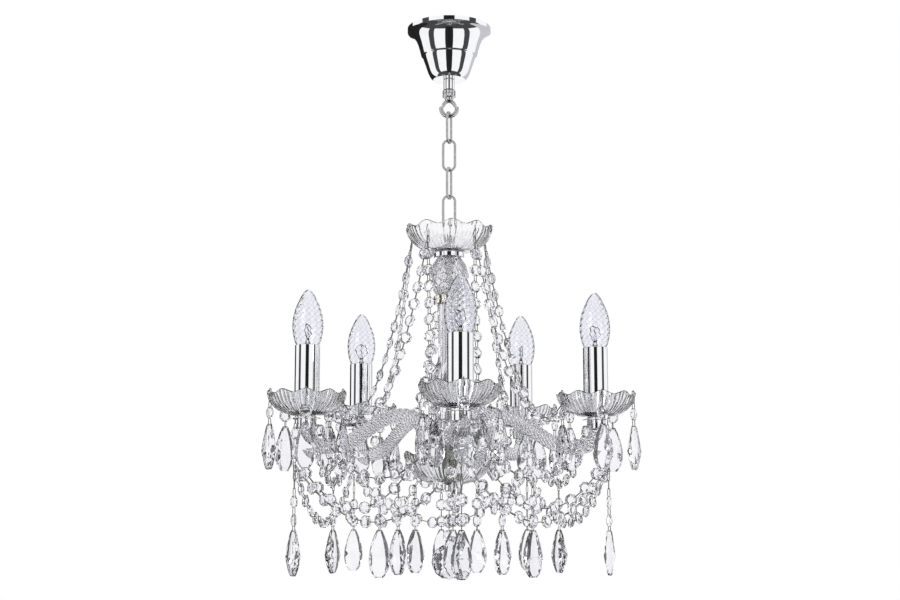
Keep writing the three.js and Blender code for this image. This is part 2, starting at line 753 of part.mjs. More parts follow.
// Arm, with the cup that is glued to its end
function armCurve() {
  const start = new THREE.Vector3(socketCircleRadius, 0, -hubTop + clearance);
  const rise = new THREE.Vector3(socketCircleRadius, 0, -archDepth - armRiseRadius);
  const arch = new THREE.Vector3(archRadius, 0, -archDepth);
  const dip = new THREE.Vector3(dipRadius, 0, -dipDepth);
  const end = new THREE.Vector3(candleCircleRadius, 0, -cupTop - cupHeight + weldOverlap);
  const span = (dipRadius - archRadius) * armSpanShare;
  const path = new THREE.CurvePath();
  path.add(new THREE.LineCurve3(start, rise));
  path.add(new THREE.QuadraticBezierCurve3(rise, new THREE.Vector3(rise.x, 0, arch.z), arch));
  path.add(new THREE.CubicBezierCurve3(
    arch, new THREE.Vector3(arch.x + span, 0, arch.z), new THREE.Vector3(dip.x - span, 0, dip.z), dip));
  path.add(new THREE.QuadraticBezierCurve3(dip, new THREE.Vector3(end.x, 0, dip.z), end));
  return path;
}

function armWithCup() {
  const points = armCurve().getSpacedPoints(armSteps);
  const tube = planarWire(points, alongY, armRadius, armSides, false, armTwistTurns * 2 * Math.PI);
  const flangeTop = -cupTop - flangeDrop;
  const flangeBottom = flangeTop - flangeThickness;
  const cup = turned([
    [0, -cupTop - cupHeight], [cupRadius, -cupTop - cupHeight], [cupRadius, flangeBottom],
    [flangeRadius, flangeBottom], [flangeRadius, flangeTop], [cupRadius, flangeTop],
    [cupRadius, -cupTop], [0, -cupTop],
  ], smallSides).translate([candleCircleRadius, 0, 0]);
  const bore = rod(threadRadius + clearance, -cupTop - cupBoreDepth, -cupTop + cutOverrun, candleCircleRadius);
  const eyelets = [0, innerEyeletTurn, -innerEyeletTurn].map((turn) => rod(
    eyeletRadius, flangeBottom - cutOverrun, flangeTop + cutOverrun,
    candleCircleRadius + Math.cos(turn) * eyeletCircleRadius, Math.sin(turn) * eyeletCircleRadius, bendSteps));
  return cutAll(union([tube, cup]), [bore, ...eyelets]);
}

// Bobeche with its five almonds, in the frame of the candle's axis
const bobeche = {
  radius: bobecheRadius, foot: bobecheFoot, depth: bobecheDepth, bottom: -cupTop + clearance,
  floor: bobecheFloor, boreRadius: threadRadius + clearance, scallop: bobecheScallop, turn: 0,
};
function rimHeight(turn) {
  return dishHeight('outside', bobecheHoleCircle, turn, bobeche) + glassWall / 2;
}

// A bead and an almond that hang from a point under the rim, at the turn of one of its holes.
// They are wide along the rim, so they face along the given outward direction.
function pendant(top, turn, outward) {
  const bead = rimHeight(turn) - pendantWireDrop - beadWidth / 2;
  const almond = bead - beadWidth / 2 - pendantBeadGap;
  const wide = new THREE.Vector3(-outward.y, outward.x, 0);
  return almondString(top, almond, wide, { first: top.z - bead, pitch: beadPitch, count: 1 });
}

function bobecheWithPendants() {
  const pan = cutAll(glassDish(bobeche), rimHoles(
    bobecheHoleCircle, [garlandHoleTurn, -garlandHoleTurn], bobeche));
  const pendants = pendantTurns.map((turn) => {
    const outward = new THREE.Vector3(Math.cos(turn), Math.sin(turn), 0);
    const top = outward.clone().multiplyScalar(bobecheHoleCircle).setZ(rimHeight(turn));
    return pendant(top, turn, outward);
  });
  return union([pan, ...pendants]);
}

// Lamp holder: nipple into the cup, flange on the pan's floor, socket for the bulb's cap
const panFloorTop = bobeche.bottom + bobecheFloor;
function lampHolder() {
  const flangeBottom = panFloorTop + clearance;
  const boreBottom = -holderTop - holderBoreDepth;
  return turned([
    [0, flangeBottom - bobecheFloor - nippleLength], [threadRadius, flangeBottom - bobecheFloor - nippleLength],
    [threadRadius, flangeBottom], [holderFlangeRadius, flangeBottom],
    [holderFlangeRadius, flangeBottom + holderFlangeHeight],
    [holderRadius, flangeBottom + 2 * holderFlangeHeight], [holderRadius, -holderTop],
    [holderBoreRadius, -holderTop], [holderBoreRadius, boreBottom], [0, boreBottom],
  ], smallSides);
}

function candleSleeve() {
  const inner = sleeveRadius - sleeveWall;
  const bottom = panFloorTop + clearance;
  return turned([
    [inner, bottom], [sleeveRadius, bottom], [sleeveRadius, -sleeveTop], [inner, -sleeveTop],
  ], candleSides);
}

function bulb() {
  const capBottom = -holderTop - holderBoreDepth + clearance;
  const capTop = capBottom + bulbCapHeight;
  const glassBottom = -sleeveTop + bulbMouthGap;
  const glassOutline = bulbOutlineShares.map(([radius, height]) => [
    radius * bulbBellyRadius, glassBottom + height * bulbGlassHeight]);
  return turned([
    [0, capBottom], [bulbCapRadius, capBottom], [bulbCapRadius, capTop],
    [bulbMouthRadius, glassBottom], ...glassOutline,
  ], candleSides);
}

// Drop: its ring goes through the ring where the swags meet, then three beads and an almond
const stringAxis = candleCircleRadius + eyeletCircleRadius;
function dropString() {
  const pivot = -swagTop - ringFlat;
  const centre = new THREE.Vector3(stringAxis, 0, pivot + ringHang);
  const top = centre.clone();
  top.z -= ringRadius - ringWireRadius / 2;
  const run = top.z + almondRowTop;
  const beads = beadsAbove(run);
  const string = almondString(top, -almondRowTop, alongY, beads);
  return union([wireRing(centre, alongX), string]);
}

for (let arm = 0; arm < armCount; arm += 1) {
  const armGroup = new THREE.Group();
  armGroup.rotation.z = armTurns[arm];
  group.add(armGroup);
  const candleGroup = new THREE.Group();
  candleGroup.position.x = candleCircleRadius;
  armGroup.add(candleGroup);
  const number = arm + 1;
  addPiece(`arm_${number}`, armWithCup(), glass, armGroup);
  addPiece(`bobeche_${number}`, bobecheWithPendants(), glass, candleGroup);
  addPiece(`lamp_holder_${number}`, lampHolder(), holderPlastic, candleGroup);
  addPiece(`candle_sleeve_${number}`, candleSleeve(), chrome, candleGroup);
  addPiece(`bulb_${number}`, bulb(), glass, candleGroup);
  addPiece(`drop_${number}`, dropString(), crystal, armGroup);
}

// Upper garland: two strings from one hole of the top dish to the two bobeches beside it. Each
// ends at the pin of an inner hole, which also carries the bobeche's pendant there. The beads
// face outwards where the string leaves the top dish.
// It is drawn in a group that points out between two arms.
const pinHeadGap = 2 * clearance;
function headOver(circle, turn, dish) {
  return dishHeight('inside', circle + pinHeadRadius, turn, dish) + pinHeadGap;
}
function stringUnder(circle, turn, dish) {
  return dishHeight('outside', circle - pinHeadRadius, turn, dish) - pinDrop;
}
function upperGarland() {
  const topPinHead = headOver(topDishHoleCircle, 0, topDish);
  const topPinEnd = stringUnder(topDishHoleCircle, 0, topDish);
  const start = new THREE.Vector3(topDishHoleCircle, 0, topPinEnd);
  const topPin = pinRows(start, topPinHead, 1);
  const [, innerRimHeight] = dishOutlines(bobeche).inside.at(-1);
  const endPinHead = innerRimHeight + bobecheScallop / 2 + pinHeadGap;
  return union([1, -1].flatMap((side) => {
    const candle = new THREE.Vector3(candleCircleRadius, 0, 0);
    const outward = new THREE.Vector3(Math.cos(garlandHoleTurn), -side * Math.sin(garlandHoleTurn), 0);
    candle.applyAxisAngle(up, (side * armStep) / 2);
    outward.applyAxisAngle(up, (side * armStep) / 2);
    const end = candle.addScaledVector(outward, bobecheHoleCircle);
    end.z = stringUnder(bobecheHoleCircle, garlandHoleTurn, bobeche);
    const curve = hangingCurve(start, end, garlandSag);
    const endPin = reversedRows(pinRows(end, endPinHead, 1));
    const beads = beadRows(curve, garlandLead, garlandTail);
    const rows = [...(side > 0 ? topPin : []), ...beads, ...endPin];
    const normal = sideOf(curve);
    const pendantTop = end.clone().setZ(end.z + weldOverlap);
    const string = stringSolid(rows, normal, normal.angleTo(alongX));
    return [string, pendant(pendantTop, garlandHoleTurn, outward)];
  }));
}

// Inner garland: a swag between two cups with an almond under its middle
const eyeletHead = -cupTop - flangeDrop + clearance;
const eyeletPinLength = flangeThickness + clearance + innerSwagDrop;
function innerGarland() {
  const ends = [1, -1].map((side) => {
    const place = new THREE.Vector3(
      candleCircleRadius + Math.cos(innerEyeletTurn) * eyeletCircleRadius,
      -side * Math.sin(innerEyeletTurn) * eyeletCircleRadius, 0);
    place.applyAxisAngle(up, (side * armStep) / 2);
    return place.setZ(eyeletHead - eyeletPinLength);
  });
  const swag = hangingCurve(ends[0], ends[1], innerSwagSag);
  const [startPin, endPin] = ends.map((end) => pinRows(end, eyeletHead, 1));
  const swagRows = [...startPin, ...beadRows(swag), ...reversedRows(endPin)];
  const middle = swag.getPointAt(0.5);
  const run = middle.z + almondRowTop;
  const almond = almondString(middle, -almondRowTop, alongY, beadsAbove(run));
  return stringSolid(swagRows, sideOf(swag)).add(almond);
}

for (let arm = 0; arm < armCount; arm += 1) {
  const betweenGroup = new THREE.Group();
  betweenGroup.rotation.z = betweenTurns[arm];
  group.add(betweenGroup);
  addPiece(`upper_garland_${arm + 1}`, upperGarland(), crystal, betweenGroup);
  addPiece(`inner_garland_${arm + 1}`, innerGarland(), crystal, betweenGroup);
}

// Lower garland: one connected net. A string comes down from each cup to a ring, where the
// swags to both neighbours and the string in to the bowl's rim meet.
function lowerGarland() {
  const pieces = [];
  const ringCentre = new THREE.Vector3(stringAxis, 0, -swagTop);
  const beside = new THREE.Vector3(0, ringRadius, 0);
  for (const turn of armTurns) {
    const place = (point) => point.clone().applyAxisAngle(up, turn);
    const tangent = place(alongY);
    pieces.push(wireRing(place(ringCentre), tangent));

    const stringTop = place(ringCentre).setZ(eyeletHead - eyeletPinLength);
    const stringEnd = place(ringCentre).setZ(-swagTop + ringRadius);
    const upright = new THREE.LineCurve3(stringTop, stringEnd);
    pieces.push(stringSolid([...pinRows(stringTop, eyeletHead, 1), ...beadRows(upright)], place(alongX)));

    const swagStart = place(ringCentre.clone().add(beside));
    const nextEnd = place(ringCentre.clone().sub(beside)).applyAxisAngle(up, armStep);
    const swag = hangingCurve(swagStart, nextEnd, outerSwagSag);
    pieces.push(stringSolid(beadRows(swag, swagLead, swagLead), sideOf(swag)));

    const bowlHole = place(new THREE.Vector3(bowlHoleCircle, 0, 0));
    const bowlPin = pinRows(bowlHole, headOver(bowlHoleCircle, 0, bottomBowl), 1);
    bowlHole.z = stringUnder(bowlHoleCircle, 0, bottomBowl);
    const radialEnd = stringEnd.clone().setZ(stringEnd.z + radialSwagLift);
    const radial = hangingCurve(bowlHole, radialEnd, radialSwagSag);
    pieces.push(stringSolid([...bowlPin, ...beadRows(radial, 0, radialSwagTail)], tangent));

    const share = (innerRingRadius - bowlHoleCircle) / (stringAxis - bowlHoleCircle);
    const middle = radial.getPoint(share);
    const beads = beadsAbove(middle.z + almondRowTop);
    pieces.push(almondString(middle, -almondRowTop, tangent, beads));
  }
  return union(pieces);
}
addPiece('lower_garland', lowerGarland(), crystal);

export default group;
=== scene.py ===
# %% [markdown]
# # A crystal chandelier with five glass arms
# A small chandelier of pressed glass and cut crystal hangs by a chain from a chrome bell. Its
# solid model is already made and is loaded here as the frame. Each cell takes one kind of
# piece, says what it is on the real light, and gives it the fine shape and the finish that the
# solid model leaves out.

from contextlib import contextmanager
from math import atan2, cos, hypot, pi, radians, sin, tan

import bmesh
import bpy
from mathutils import Matrix, Vector


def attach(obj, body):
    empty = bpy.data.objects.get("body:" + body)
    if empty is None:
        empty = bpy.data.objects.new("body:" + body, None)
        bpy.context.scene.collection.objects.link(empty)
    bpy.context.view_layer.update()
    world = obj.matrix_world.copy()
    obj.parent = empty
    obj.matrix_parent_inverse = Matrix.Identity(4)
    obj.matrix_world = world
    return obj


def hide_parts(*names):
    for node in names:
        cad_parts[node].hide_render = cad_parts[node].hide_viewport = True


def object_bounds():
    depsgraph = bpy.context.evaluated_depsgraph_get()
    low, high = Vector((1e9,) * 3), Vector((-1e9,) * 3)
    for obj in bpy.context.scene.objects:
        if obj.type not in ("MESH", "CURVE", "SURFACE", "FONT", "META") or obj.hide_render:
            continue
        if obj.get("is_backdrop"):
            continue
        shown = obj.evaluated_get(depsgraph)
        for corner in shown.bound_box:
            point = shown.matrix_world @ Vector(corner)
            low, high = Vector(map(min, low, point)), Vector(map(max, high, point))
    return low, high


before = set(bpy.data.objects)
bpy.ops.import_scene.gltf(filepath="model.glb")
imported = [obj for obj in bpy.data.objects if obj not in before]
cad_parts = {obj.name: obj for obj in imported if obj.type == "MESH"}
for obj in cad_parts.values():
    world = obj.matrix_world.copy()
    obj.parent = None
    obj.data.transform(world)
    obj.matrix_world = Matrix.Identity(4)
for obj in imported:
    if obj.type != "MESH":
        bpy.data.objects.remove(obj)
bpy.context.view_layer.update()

# %% [markdown]
# ## Small helpers
# The drawings of the real pieces are in millimetres and Blender works in metres, so one number
# converts between them. Edit-mode operators act on all that is selected, so one helper selects
# a whole mesh for them and another picks points by their place.

# %% Helpers for modelling
MM = 0.001
SMOOTH_BELOW = radians(35)


def new_object(name, data):
    """A new object in the scene, from a mesh, a curve, a lamp or a camera."""
    thing = bpy.data.objects.new(name, data)
    bpy.context.scene.collection.objects.link(thing)
    return thing


def mesh_object(name, points, edges=(), faces=()):
    """A new object from points in millimetres."""
    mesh = bpy.data.meshes.new(name)
    mesh.from_pydata([Vector(p) * MM for p in points], list(edges), list(faces))
    return new_object(name, mesh)


def select_only(thing):
    bpy.ops.object.select_all(action="DESELECT")
    thing.select_set(True)
    bpy.context.view_layer.objects.active = thing


@contextmanager
def editing(thing):
    """Opens a mesh in edit mode with all of it selected, and closes it again."""
    select_only(thing)
    bpy.ops.object.mode_set(mode="EDIT")
    bpy.ops.mesh.select_all(action="SELECT")
    yield
    bpy.ops.object.mode_set(mode="OBJECT")


def clean_up(thing, smooth=True):
    """Merges doubled points, turns all faces outwards and shades round parts smooth."""
    with editing(thing):
        bpy.ops.mesh.remove_doubles(threshold=0.01 * MM)
        bpy.ops.mesh.normals_make_consistent(inside=False)
    if smooth:
        bpy.ops.object.shade_smooth_by_angle(angle=SMOOTH_BELOW)
    return thing


def pick_points(thing, wanted):
    """In edit mode, selects the points for which wanted(place in mm) is true."""
    bpy.ops.mesh.select_all(action="DESELECT")
    work = bmesh.from_edit_mesh(thing.data)
    for point in work.verts:
        point.select = wanted(point.co / MM)
    work.select_flush(True)
    bmesh.update_edit_mesh(thing.data)


def moved(thing, x=0.0, z=0.0):
    """Moves a mesh by millimetres, with its object left at the origin."""
    thing.data.transform(Matrix.Translation((x * MM, 0, z * MM)))
    return thing


def turned_about_z(thing, angle):
    """Turns a mesh round the light's own axis, with its object left unturned."""
    thing.data.transform(Matrix.Rotation(angle, 4, "Z"))
    return thing


def joined(name, things):
    """One object from several."""
    select_only(things[0])
    for thing in things:
        thing.select_set(True)
    bpy.ops.object.join()
    things[0].name = name
    return things[0]


# %% [markdown]
# Most of the metal is turned on a lathe. On screen that is half of the piece's cut face, drawn
# as one closed line and swept round an upright axis with the Spin operator.

# %% A helper for turned pieces
def turned(name, profile, steps=64, x=0.0):
    """Spins a closed profile of [radius, height] points in mm round an upright axis at x."""
    edges = [(i, (i + 1) % len(profile)) for i in range(len(profile))]
    thing = mesh_object(name, [(x + r, 0, h) for r, h in profile], edges)
    with editing(thing):
        bpy.ops.mesh.spin(steps=steps, angle=2 * pi, center=(x * MM, 0, 0), axis=(0, 0, 1))
    return clean_up(thing)


def turned_solid(name, profile, steps):
    """A turned piece whose open profile starts and ends on the axis."""
    return turned(name, [(0, profile[0][1]), *profile, (0, profile[-1][1])], steps)


# %% [markdown]
# Pressed and cut glass is not quite round: ribs, flutes and scallops run over it. It is built as
# rings of points, one ring for each point of a closed profile, and a shaping function moves
# every point as the mould would. This gives ribs that a plain spin can't.

# %% A helper for ribbed pieces
def ringed(name, profile, steps, shape, x=0.0):
    """Skins rings of points. shape(r, h, turn, i) gives the radius and height of each point."""
    points, faces = [], []
    for i, (radius, height) in enumerate(profile):
        here, above = i * steps, (i + 1) % len(profile) * steps
        for step in range(steps):
            turn = 2 * pi * step / steps
            r, h = shape(radius, height, turn, i)
            points.append((x + r * cos(turn), r * sin(turn), h))
            beside = (step + 1) % steps
            faces.append((here + step, here + beside, above + beside, above + step))
    return clean_up(mesh_object(name, points, faces=faces))


# %% [markdown]
# ## Finishes
# Each finish starts from what the real one is. Colours are written as sRGB hex values, and one
# function turns them to the linear values that the shader needs. One function adds a node,
# with its settings and the links into it.

# %% Helpers for finishes
def to_linear(colour):
    channels = [int(colour[i : i + 2], 16) / 255 for i in (1, 3, 5)]
    return (*[c / 12.92 if c <= 0.04045 else ((c + 0.055) / 1.055) ** 2.4 for c in channels], 1)


def add_node(tree, kind, links=None, stops=(), **settings):
    """Adds a node. A setting names an attribute or an input, and links maps inputs to outputs."""
    node = tree.nodes.new(kind)
    for i, (place, colour) in enumerate(stops):
        node.color_ramp.elements[i].position = place
        node.color_ramp.elements[i].color = to_linear(colour)
    for key, value in settings.items():
        if hasattr(node, key):
            setattr(node, key, value)
        else:
            node.inputs[key.replace("_", " ")].default_value = value
    for key, output in (links or {}).items():
        tree.links.new(output, node.inputs[key])
    return node


def empty_tree(owner):
    """The node tree of a new material or world, with nothing in it yet."""
    owner.use_nodes = True
    owner.node_tree.nodes.clear()
    return owner.node_tree


def new_finish(name, **shader):
    """A material with its principled shader. Values that hold all over are set on its sockets."""
    finish = bpy.data.materials.new(name)
    tree = empty_tree(finish)
    principled = add_node(tree, "ShaderNodeBsdfPrincipled", **shader)
    add_node(tree, "ShaderNodeOutputMaterial", {"Surface": principled.outputs[0]})
    print("finish:", name)
    return finish, tree, principled


def varied(name, grain_mm, colours, rough, bump_mm=0.0, stretch=(1, 1, 1), **shader):
    """A finish whose colour, roughness and surface move a little with noise of one grain size."""
    finish, tree, principled = new_finish(name, **shader)
    place = add_node(tree, "ShaderNodeTexCoord").outputs["Object"]
    mapped = add_node(tree, "ShaderNodeMapping", {"Vector": place}, Scale=stretch)
    grain = add_node(tree, "ShaderNodeTexNoise", {"Vector": mapped.outputs[0]},
                     Scale=1 / (grain_mm * MM), Detail=3.0)
    noise_low, noise_high = 0.3, 0.7
    ramp = add_node(tree, "ShaderNodeValToRGB", {"Fac": grain.outputs["Fac"]},
                    zip((noise_low, noise_high), colours))
    spread = add_node(tree, "ShaderNodeMapRange", {"Value": grain.outputs["Fac"]},
                      From_Min=noise_low, From_Max=noise_high, To_Min=rough[0], To_Max=rough[1])
    tree.links.new(ramp.outputs["Color"], principled.inputs["Base Color"])
    tree.links.new(spread.outputs["Result"], principled.inputs["Roughness"])
    if bump_mm:
        bump = add_node(tree, "ShaderNodeBump", {"Height": grain.outputs["Fac"]},
                        Strength=1.0, Distance=bump_mm * MM)
        tree.links.new(bump.outputs["Normal"], principled.inputs["Normal"])
    return finish


# %% [markdown]
# The canopy, sleeves, links and collars are steel and brass plated with chromium and polished.
# Chrome is a neutral mirror, so the eye sees the room in it: the white walls and the dark cards
# that stand round the light. Bent wire is polished less well than spun sheet and looks greyer.
# A very faint haze stops a mirror from looking drawn.

# %% Metal finishes
chrome = varied("polished_chrome_plate", 9, ("#F3F4F6", "#FAFAFC"), (0.02, 0.05), Metallic=1.0)
wire_chrome = varied("chrome_plated_wire", 3, ("#C8C8C9", "#DEDEDF"), (0.03, 0.08), Metallic=1.0)
brassy_chrome = varied("chrome_plate_over_brass", 9, ("#EFEAE1", "#F6F3EE"), (0.03, 0.06), Metallic=1.0)
zinc_steel = varied("zinc_plated_steel", 3, ("#EEF0F2", "#F8F8F9"), (0.38, 0.5), 0.02, Metallic=1.0)
hub_steel = varied("satin_hub_steel", 2, ("#7E8078", "#94968C"), (0.25, 0.38), 0.02, (1, 1, 4), Metallic=1.0)
tungsten = varied("drawn_tungsten_wire", 1, ("#3C3C40", "#55555A"), (0.35, 0.5), Metallic=1.0)
pin_wire = varied("nickel_plated_pin_wire", 2, ("#8C8A85", "#A6A49E"), (0.12, 0.22), Metallic=1.0)
brass_cap = varied("rolled_brass_cap", 3, ("#B89A5E", "#C9AE74"), (0.2, 0.32), Metallic=1.0)

# %% [markdown]
# Clear pressed soda glass for the dishes, stem and arms has a skin that is slightly wavy where
# it cooled against the mould. Cut crystal is denser and polished flat, so it bends light more
# and its facets stay sharp. Both are a touch lilac in a thick piece, as glass decoloured with
# manganese is. The bulbs are thin blown glass, and their holders are plain moulded plastic.
# Twisted and fluted glass gets painted shade in its grooves, so these show as fine greyer lines.

# %% Glass finishes
def glass_with_painted_groove_shade(name, ridge, groove, ior):
    """Glass with painted shade in its grooves, from the groove attribute of its mesh, 0 on a ridge and 1 in a
    groove.
    """
    finish, tree, shader = new_finish(name, Transmission_Weight=1.0, IOR=ior, Roughness=0.01)
    # Painted shade: the groove colour darkens the glass where the groove attribute is high.
    depth = add_node(tree, "ShaderNodeAttribute", attribute_name="groove")
    ramp = add_node(tree, "ShaderNodeValToRGB", {"Fac": depth.outputs["Fac"]}, [(0, ridge), (1, groove)])
    tree.links.new(ramp.outputs["Color"], shader.inputs["Base Color"])
    return finish


CLEAR = {"Transmission_Weight": 1.0}
pressed_glass = varied("pressed_soda_glass", 5, ("#F8F8FB", "#FDFDFE"), (0.0, 0.03), 0.12, IOR=1.5, **CLEAR)
# The darker second colour is painted shade in the rope's grooves.
rope_glass = glass_with_painted_groove_shade("twisted_rod_glass_painted_groove_shade", "#F7F7F9", "#B6B6BF", 1.5)
cut_crystal = varied("cut_lead_crystal", 12, ("#F6F6FA", "#FAFAFD"), (0.0, 0.015), IOR=1.56, **CLEAR)
blown_glass = varied("thin_blown_bulb_glass", 8, ("#F2F2FB", "#F7F7FD"), (0.0, 0.02), 0.03, IOR=1.48, **CLEAR)
# The darker second colour is painted shade in the bulb's flutes.
fluted_glass = glass_with_painted_groove_shade("thin_blown_fluted_glass_painted_groove_shade", "#F9F9FD", "#C0C0CD", 1.48)
holder_plastic = varied("moulded_white_plastic", 1.5, ("#E9E6DD", "#F1EFE8"), (0.42, 0.55), 0.02, IOR=1.5)

# %% [markdown]
# A finished piece gets its material and rides the body that it belongs to, and the solid that it
# stands for is hidden. What comes five times is modelled once, on an arm that points along X,
# and then copied round the stem.

# %% Helpers that finish pieces
FRAME_BODY = "chandelier_frame"
ARM_COUNT = 5
FIRST_ARM = radians(4 - 90)
ARM_STEP = 2 * pi / ARM_COUNT
ARM_TURNS = [FIRST_ARM + arm * ARM_STEP for arm in range(ARM_COUNT)]
BETWEEN_TURNS = [turn + ARM_STEP / 2 for turn in ARM_TURNS]


def finish_piece(thing, material, node, body=FRAME_BODY):
    thing.data.materials.clear()
    thing.data.materials.append(material)
    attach(thing, body)
    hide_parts(node)
    print(f"{thing.name}: {len(thing.data.polygons)} faces")


def on_each_arm(pattern, kind, part, material, loose=False):
    """Copies a pattern to the five arms and removes it. Loose copies ride bodies of their own."""
    for arm, turn in enumerate(ARM_TURNS, start=1):
        node = f"{kind}_{arm}"
        piece = turned_about_z(new_object(f"{node}_{part}", pattern.data.copy()), turn)
        finish_piece(piece, material, node, node if loose else FRAME_BODY)
    bpy.data.objects.remove(pattern)


# %% [markdown]
# ## The canopy and what hangs from it
# The canopy is a spun bell of thin sheet. Its lower edge is rolled, its side is two shallow
# curves that meet at a sharp ridge, and it flares near the ceiling to a short upright lip. Its
# profile is one closed line, outside and inside, so the sheet has its real thickness.

# %% Canopy
CANOPY_SIDE = [
    (19.0, -64), (21.4, -61.9), (23.4, -58.8), (25.0, -55.2), (27.8, -47), (30.1, -40.4), (31.2, -36.8),
    (31.7, -36.0), (32.7, -35.2), (33.3, -34.4), (34.6, -29), (36.9, -21), (39.4, -14.7), (42.6, -10.2),
    (46.2, -7.6), (49.0, -6.4), (49.7, -5.6), (49.7, -1),
]
SHEET = 1.2
TUBE_HOLE = 5.3
inside_canopy = [(r - SHEET, h + 0.5 * SHEET) for r, h in CANOPY_SIDE[2:-1]]
canopy = turned("canopy_bell", [
    (TUBE_HOLE, -64), *CANOPY_SIDE, (49.7 - SHEET, -1), *reversed(inside_canopy), (18.8, -62.8),
    (TUBE_HOLE, -62.8)], steps=96)
finish_piece(canopy, chrome, "canopy", "ceiling_mount")

# %% [markdown]
# Under the bell a threaded tube ends in a plain collar with a small bead at each end, and the
# eye turns on it under a knurled ring. The knurl is pressed ridges, so the ring of points is
# moved in and out along its rim. Rings of wire all start as a torus.

# %% Suspension tube and hanging eye
tube = turned_solid("hanging_tube", [
    (3.5, -83.9), (3.5, -76.6), (6.3, -76.6), (6.65, -76.2), (6.65, -64.8), (6.2, -64.3), (5, -64.3),
    (5, -2.8)], steps=48)
finish_piece(tube, chrome, "suspension_tube", "ceiling_mount")

KNURL_COUNT = 24
KNURL_DEPTH = 0.25
knurl_profile = [
    (3.8, -84.2), (3.8, -76.9), (7.0, -76.9), (7.7, -77.8), (7.7, -81), (7.2, -81.4), (7.7, -81.8),
    (7.7, -85), (7.0, -86), (4.5, -86.5), (2, -86.5), (2, -84.2)]


def knurl(r, h, turn, i):
    on_the_rim = r > 7.6
    return r + (KNURL_DEPTH * cos(KNURL_COUNT * turn) if on_the_rim else 0), h


def wire_ring(radius, wire, segments, rows, rotation=(pi / 2, 0, 0)):
    """An upright ring of round wire about the origin, with radii in mm."""
    bpy.ops.object.select_all(action="DESELECT")
    bpy.ops.mesh.primitive_torus_add(major_segments=segments, minor_segments=rows, rotation=rotation,
                                     major_radius=radius * MM, minor_radius=wire * MM)
    bpy.ops.object.transform_apply(location=True, rotation=True, scale=True)
    return bpy.context.active_object


knurled_ring = ringed("knurled_ring", knurl_profile, KNURL_COUNT * 4, knurl)

# The eye is drawn down from the knurl: its upper part is narrowed towards a neck
NECK_SHARE = 0.82
eye = wire_ring(9.3, 2.5, 48, 16)
with editing(eye):
    pick_points(eye, lambda p: p.z > 2.5)
    bpy.ops.transform.resize(value=(NECK_SHARE, 1.0, 1.0), center_override=(0, 0, 0))
moved(eye, z=-99.2)
neck = turned_solid("eye_neck", [(5.4, -86.3), (5.2, -87.6), (3.4, -90)], steps=32)
hanging_eye = clean_up(joined("hanging_eye_ring", [knurled_ring, eye, neck]))
finish_piece(hanging_eye, wire_chrome, "hanging_eye", "eye")

# %% [markdown]
# Each chain link is round wire bent to an oval, its two ends butted together with a fine gap in
# one side. A ring's upper points go up and its lower points go down, which leaves the two
# straight sides. A thin block then cuts the gap.

# %% Chain links
LINK_TURNS = [radians(t) for t in (70, 0, 70, 0)]
LINK_MIDDLES = [-122.4, -156.1, -189.8, -223.5]
LINK_SIDE = 11.5
LINK_BEND = 7.0
LINK_WIRE = 1.5
GAP = 0.5


def pulled_apart(ring, distance, level=0.2):
    """Moves the points above and below the level ones, in mm, away from each other."""
    with editing(ring):
        pick_points(ring, lambda p: p.z > level)
        bpy.ops.transform.translate(value=(0, 0, distance * MM))
        pick_points(ring, lambda p: p.z < -level)
        bpy.ops.transform.translate(value=(0, 0, -distance * MM))
    return ring


for number, (turn, middle) in enumerate(zip(LINK_TURNS, LINK_MIDDLES), start=1):
    link = pulled_apart(wire_ring(LINK_BEND, LINK_WIRE, 48, 14), LINK_SIDE)
    link.name = f"link_{number}_wire"
    bpy.ops.object.select_all(action="DESELECT")
    bpy.ops.mesh.primitive_cube_add(size=1, location=(LINK_BEND * MM, 0, 0.3 * MM),
                                    scale=(5 * MM, 5 * MM, GAP * MM))
    cutter = bpy.context.active_object
    select_only(link)
    cut = link.modifiers.new("gap", "BOOLEAN")
    cut.operation = "DIFFERENCE"
    cut.object = cutter
    bpy.ops.object.modifier_apply(modifier="gap")
    bpy.data.objects.remove(cutter)
    clean_up(link)
    turned_about_z(link, turn)
    moved(link, z=middle)
    finish_piece(link, wire_chrome, f"chain_link_{number}", f"link_{number}")

# %% [markdown]
# The last link holds a loop on a turned shank, one casting, whose foot clamps the top dish. The
# rod's thread shows faintly through the glass of the stem, as fine rings 1.25 mm apart.

# %% Stem loop and rod
loop = moved(wire_ring(7.55, 1.75, 40, 14, rotation=(0, pi / 2, 0)), z=-246)
shank = turned("stem_shank", [
    (4.3, -269.55), (11.6, -269.55), (12, -269.1), (12, -267.4), (11.2, -266.85), (7.4, -266.4),
    (6.5, -265.4), (6.5, -256.6), (5.6, -255), (3.2, -253.2), (1.6, -252.6), (1.6, -258), (4.3, -258.4)],
    steps=48)
stem_loop = clean_up(joined("stem_loop_casting", [loop, shank]))
finish_piece(stem_loop, wire_chrome, "stem_loop")

THREAD_PITCH = 1.25
THREAD_CREST, THREAD_ROOT = 4.0, 3.5
ROD_BOTTOM, ROD_TOP = -547.6, -258.9
thread_profile = [(THREAD_ROOT, ROD_BOTTOM)]
for row in range(int((ROD_TOP - ROD_BOTTOM) / THREAD_PITCH)):
    low = ROD_BOTTOM + 0.3 + row * THREAD_PITCH
    thread_profile += [(THREAD_CREST, low + 0.3 * THREAD_PITCH), (THREAD_ROOT, low + 0.8 * THREAD_PITCH)]
thread_profile.append((THREAD_ROOT, ROD_TOP))
rod = turned_solid("stem_rod_thread", thread_profile, steps=20)
finish_piece(rod, zinc_steel, "stem_rod")

# %% [markdown]
# ## Pressed glass dishes
# The top dish, the bottom bowl and the five pans come from the same kind of mould: a thick wall,
# ten scallops round the rim and ribs that fan out from the foot. The wall's outside and inside
# are one closed profile. The shaping function lifts the rim in waves, and presses fine ribs
# into the outside and broad shallow ones into the inside.

